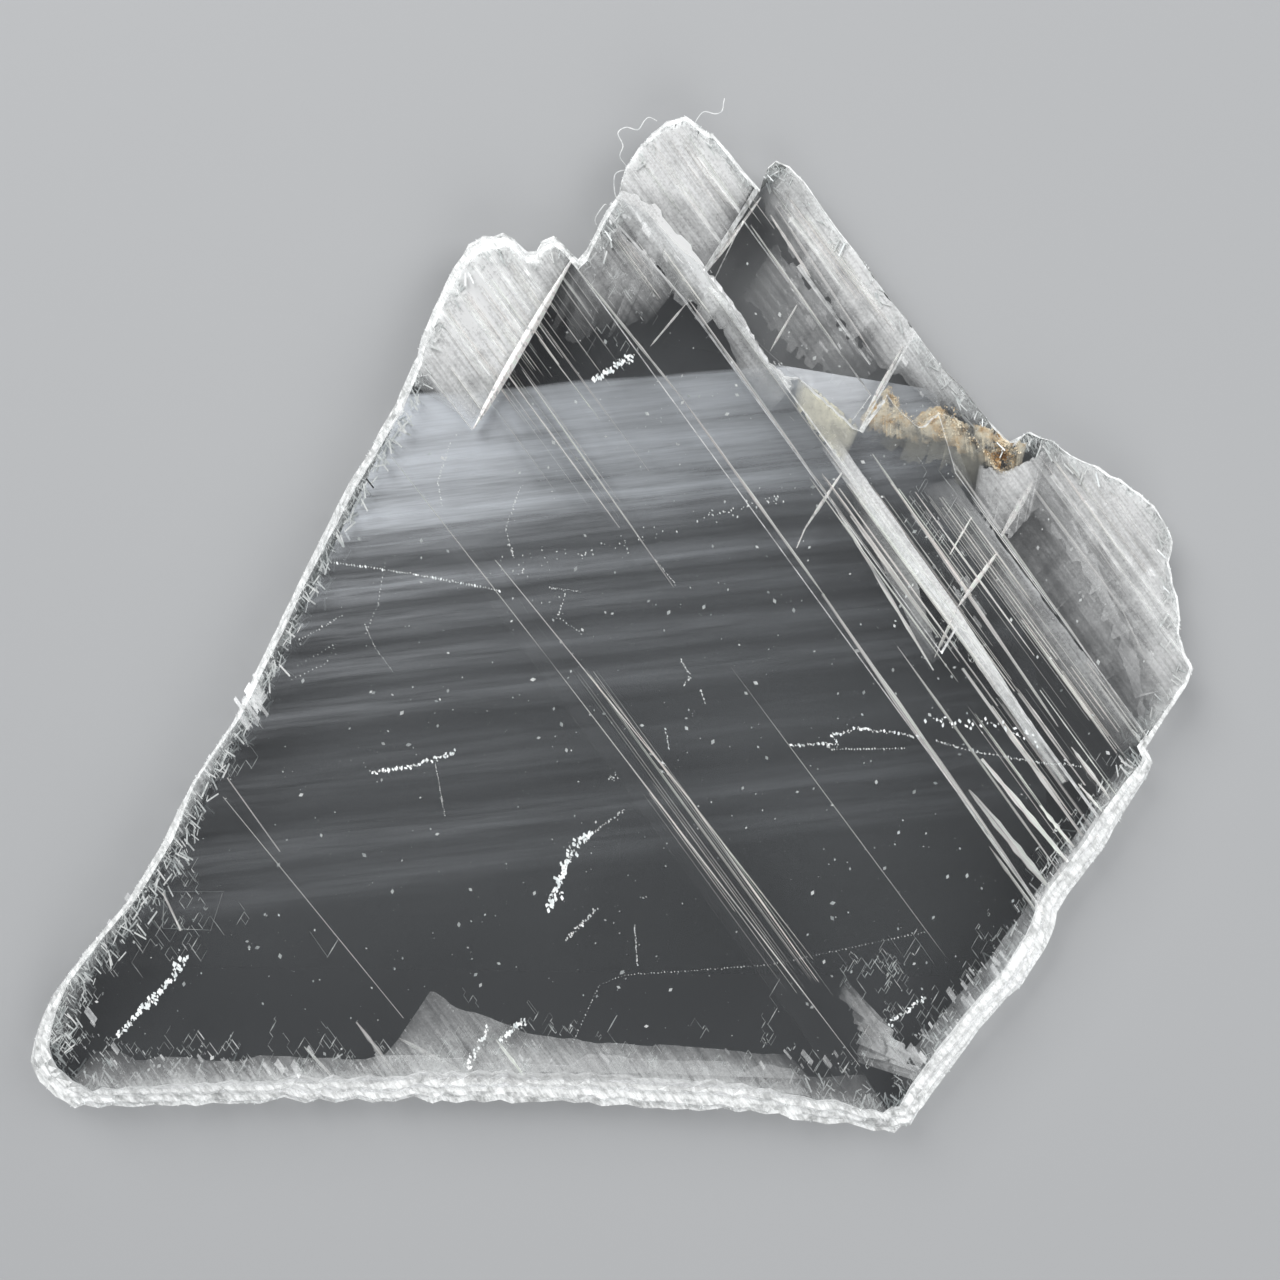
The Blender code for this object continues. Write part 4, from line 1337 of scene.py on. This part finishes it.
class SeleniteLook(bpy.types.PropertyGroup):
    """Sizes and colours that a user would change."""

    seed: bpy.props.IntProperty(name="Seed", description="Start of every scatter", default=7)
    index: bpy.props.FloatProperty(
        name="Refraction", description="How strongly the crystal bends light", default=1.52
    )
    # Painted shade: the grey absorption that darkens the colourless crystal with depth.
    shade_absorption_colour: colour("Painted shade colour", (0.35, 0.37, 0.385, 1), "What deep crystal lets pass")
    shade_absorption_density: bpy.props.FloatProperty(
        name="Painted shade density", description="Absorption for each metre of crystal", default=360.0
    )
    frost_colour: colour("Frost", (0.94, 0.95, 0.94, 1), "White of the broken faces")
    # Painted reflection: the cracks' white stands in for the light their faces throw back.
    crack_reflection_white: colour("Cracks", (0.97, 0.97, 0.95, 1), "White of the bright cracks")
    # Painted glow: light the cracks add, though they give none of their own.
    painted_crack_glow: bpy.props.FloatProperty(
        name="Painted crack glow", description="Light that the cracks add of their own", default=0.15
    )
    silk_colour: colour("Silk", (0.88, 0.91, 0.95, 1), "Grey of the growth bands")
    silk_cover: bpy.props.FloatProperty(
        name="Silk cover", description="How far the growth bands hide what is below",
        default=1.3,
    )
    milk_colour: colour("Milk", (0.93, 0.94, 0.94, 1), "White of the milky films")
    milk_cover: bpy.props.FloatProperty(
        name="Milk cover", description="How far the milky films hide what is below",
        default=1.0,
    )
    stain_colour: colour("Stain", (0.17, 0.08, 0.03, 1), "Darkest brown of the iron stain")
    tinge_colour: colour("Tinge", (0.86, 0.84, 0.71, 1), "Pale yellow beside the stain")
    lumps: bpy.props.IntProperty(
        name="Lumps", description="Rusty crumbs along the trail to the pocket", default=160
    )
    splinters: bpy.props.IntProperty(
        name="Splinters", description="Leaves on the broken faces", default=12000
    )
    specks: bpy.props.IntProperty(
        name="Specks", description="Specks scattered, some of which miss the slab", default=3000
    )
    floor_colour: colour("Floor", (0.36, 0.365, 0.37, 1), "Colour of the floor")
    floor_size: bpy.props.FloatProperty(
        name="Floor size", description="Side of the floor", default=3.0, unit="LENGTH"
    )
    room_colour: colour("Room", (0.86, 0.88, 0.92, 1), "Colour of the soft room light")
    room_strength: bpy.props.FloatProperty(
        name="Room light", description="Strength of the soft room light", default=0.45
    )
    key_power: bpy.props.FloatProperty(
        name="Key light", description="Power of the key light", default=2.6, unit="POWER"
    )
    bounces: bpy.props.IntProperty(
        name="Bounces", description="How often light turns on its way", default=6
    )
    layers: bpy.props.IntProperty(
        name="Layers", description="How many thin films light passes on its way", default=12
    )
    lens: bpy.props.FloatProperty(
        name="Lens", description="Focal length of the camera", default=50.0, unit="CAMERA"
    )
    camera_height: bpy.props.FloatProperty(
        name="Camera height", description="From the front face up to the camera",
        default=0.178, unit="LENGTH",
    )


class SELENITE_OT_crystal_body(bpy.types.Operator):
    """Make the clear crystal"""

    bl_idname = "selenite.crystal_body"
    bl_label = "Crystal"

    def execute(self, context):
        make_crystal_body(context.scene.selenite_look)
        return {"FINISHED"}


class SELENITE_OT_rim_splinters(bpy.types.Operator):
    """Scatter white leaves over the broken faces"""

    bl_idname = "selenite.rim_splinters"
    bl_label = "Rim splinters"

    def execute(self, context):
        make_rim_splinters(context.scene.selenite_look)
        return {"FINISHED"}


class SELENITE_OT_cracks(bpy.types.Operator):
    """Make the cracks along both cleavages and the zigzag cracks near the rim"""

    bl_idname = "selenite.cracks"
    bl_label = "Cracks"

    def execute(self, context):
        look = context.scene.selenite_look
        make_fibre_lines(look)
        make_cross_lines(look)
        make_crazing(look)
        return {"FINISHED"}


class SELENITE_OT_growth_films(bpy.types.Operator):
    """Make the silky growth bands and the milky films"""

    bl_idname = "selenite.growth_films"
    bl_label = "Bands and milky films"

    def execute(self, context):
        look = context.scene.selenite_look
        make_silky_bands(look)
        make_milky_zones(look)
        make_flakes(look)
        return {"FINISHED"}


class SELENITE_OT_marks(bpy.types.Operator):
    """Scatter bruises and specks"""

    bl_idname = "selenite.marks"
    bl_label = "Bruises and specks"

    def execute(self, context):
        look = context.scene.selenite_look
        make_bruises(look)
        make_specks(look)
        return {"FINISHED"}


class SELENITE_OT_stain(bpy.types.Operator):
    """Make the iron stain"""

    bl_idname = "selenite.stain"
    bl_label = "Iron stain"

    def execute(self, context):
        make_stain(context.scene.selenite_look)
        return {"FINISHED"}


class SELENITE_OT_lint(bpy.types.Operator):
    """Make the lint on the top lobe"""

    bl_idname = "selenite.lint"
    bl_label = "Lint"

    def execute(self, context):
        make_lint()
        return {"FINISHED"}


class SELENITE_OT_stage(bpy.types.Operator):
    """Make the floor, the lights and the camera"""

    bl_idname = "selenite.stage"
    bl_label = "Stage"

    def execute(self, context):
        make_stage(context.scene.selenite_look)
        return {"FINISHED"}


OPERATORS = (
    SELENITE_OT_crystal_body,
    SELENITE_OT_rim_splinters,
    SELENITE_OT_cracks,
    SELENITE_OT_growth_films,
    SELENITE_OT_marks,
    SELENITE_OT_stain,
    SELENITE_OT_lint,
    SELENITE_OT_stage,
)


class SELENITE_PT_sidebar(bpy.types.Panel):
    """Lists the slab's pieces"""

    bl_idname = "SELENITE_PT_sidebar"
    bl_label = "Selenite Slab"
    bl_space_type = "VIEW_3D"
    bl_region_type = "UI"
    bl_category = "Selenite"

    def draw(self, context):
        look = context.scene.selenite_look
        for name in look.bl_rna.properties.keys():
            if name not in ("rna_type", "name"):
                self.layout.prop(look, name)
        for operator in OPERATORS:
            self.layout.operator(operator.bl_idname)


CLASSES = (SeleniteLook, *OPERATORS, SELENITE_PT_sidebar)


def register():
    for item in CLASSES:
        bpy.utils.register_class(item)
    bpy.types.Scene.selenite_look = bpy.props.PointerProperty(type=SeleniteLook)


def unregister():
    del bpy.types.Scene.selenite_look
    for item in reversed(CLASSES):
        bpy.utils.unregister_class(item)


def main():
    register()
    bpy.ops.selenite.crystal_body()
    bpy.ops.selenite.rim_splinters()
    bpy.ops.selenite.cracks()
    bpy.ops.selenite.growth_films()
    bpy.ops.selenite.marks()
    bpy.ops.selenite.stain()
    bpy.ops.selenite.lint()
    bpy.ops.selenite.stage()


if __name__ == "__main__":
    main()
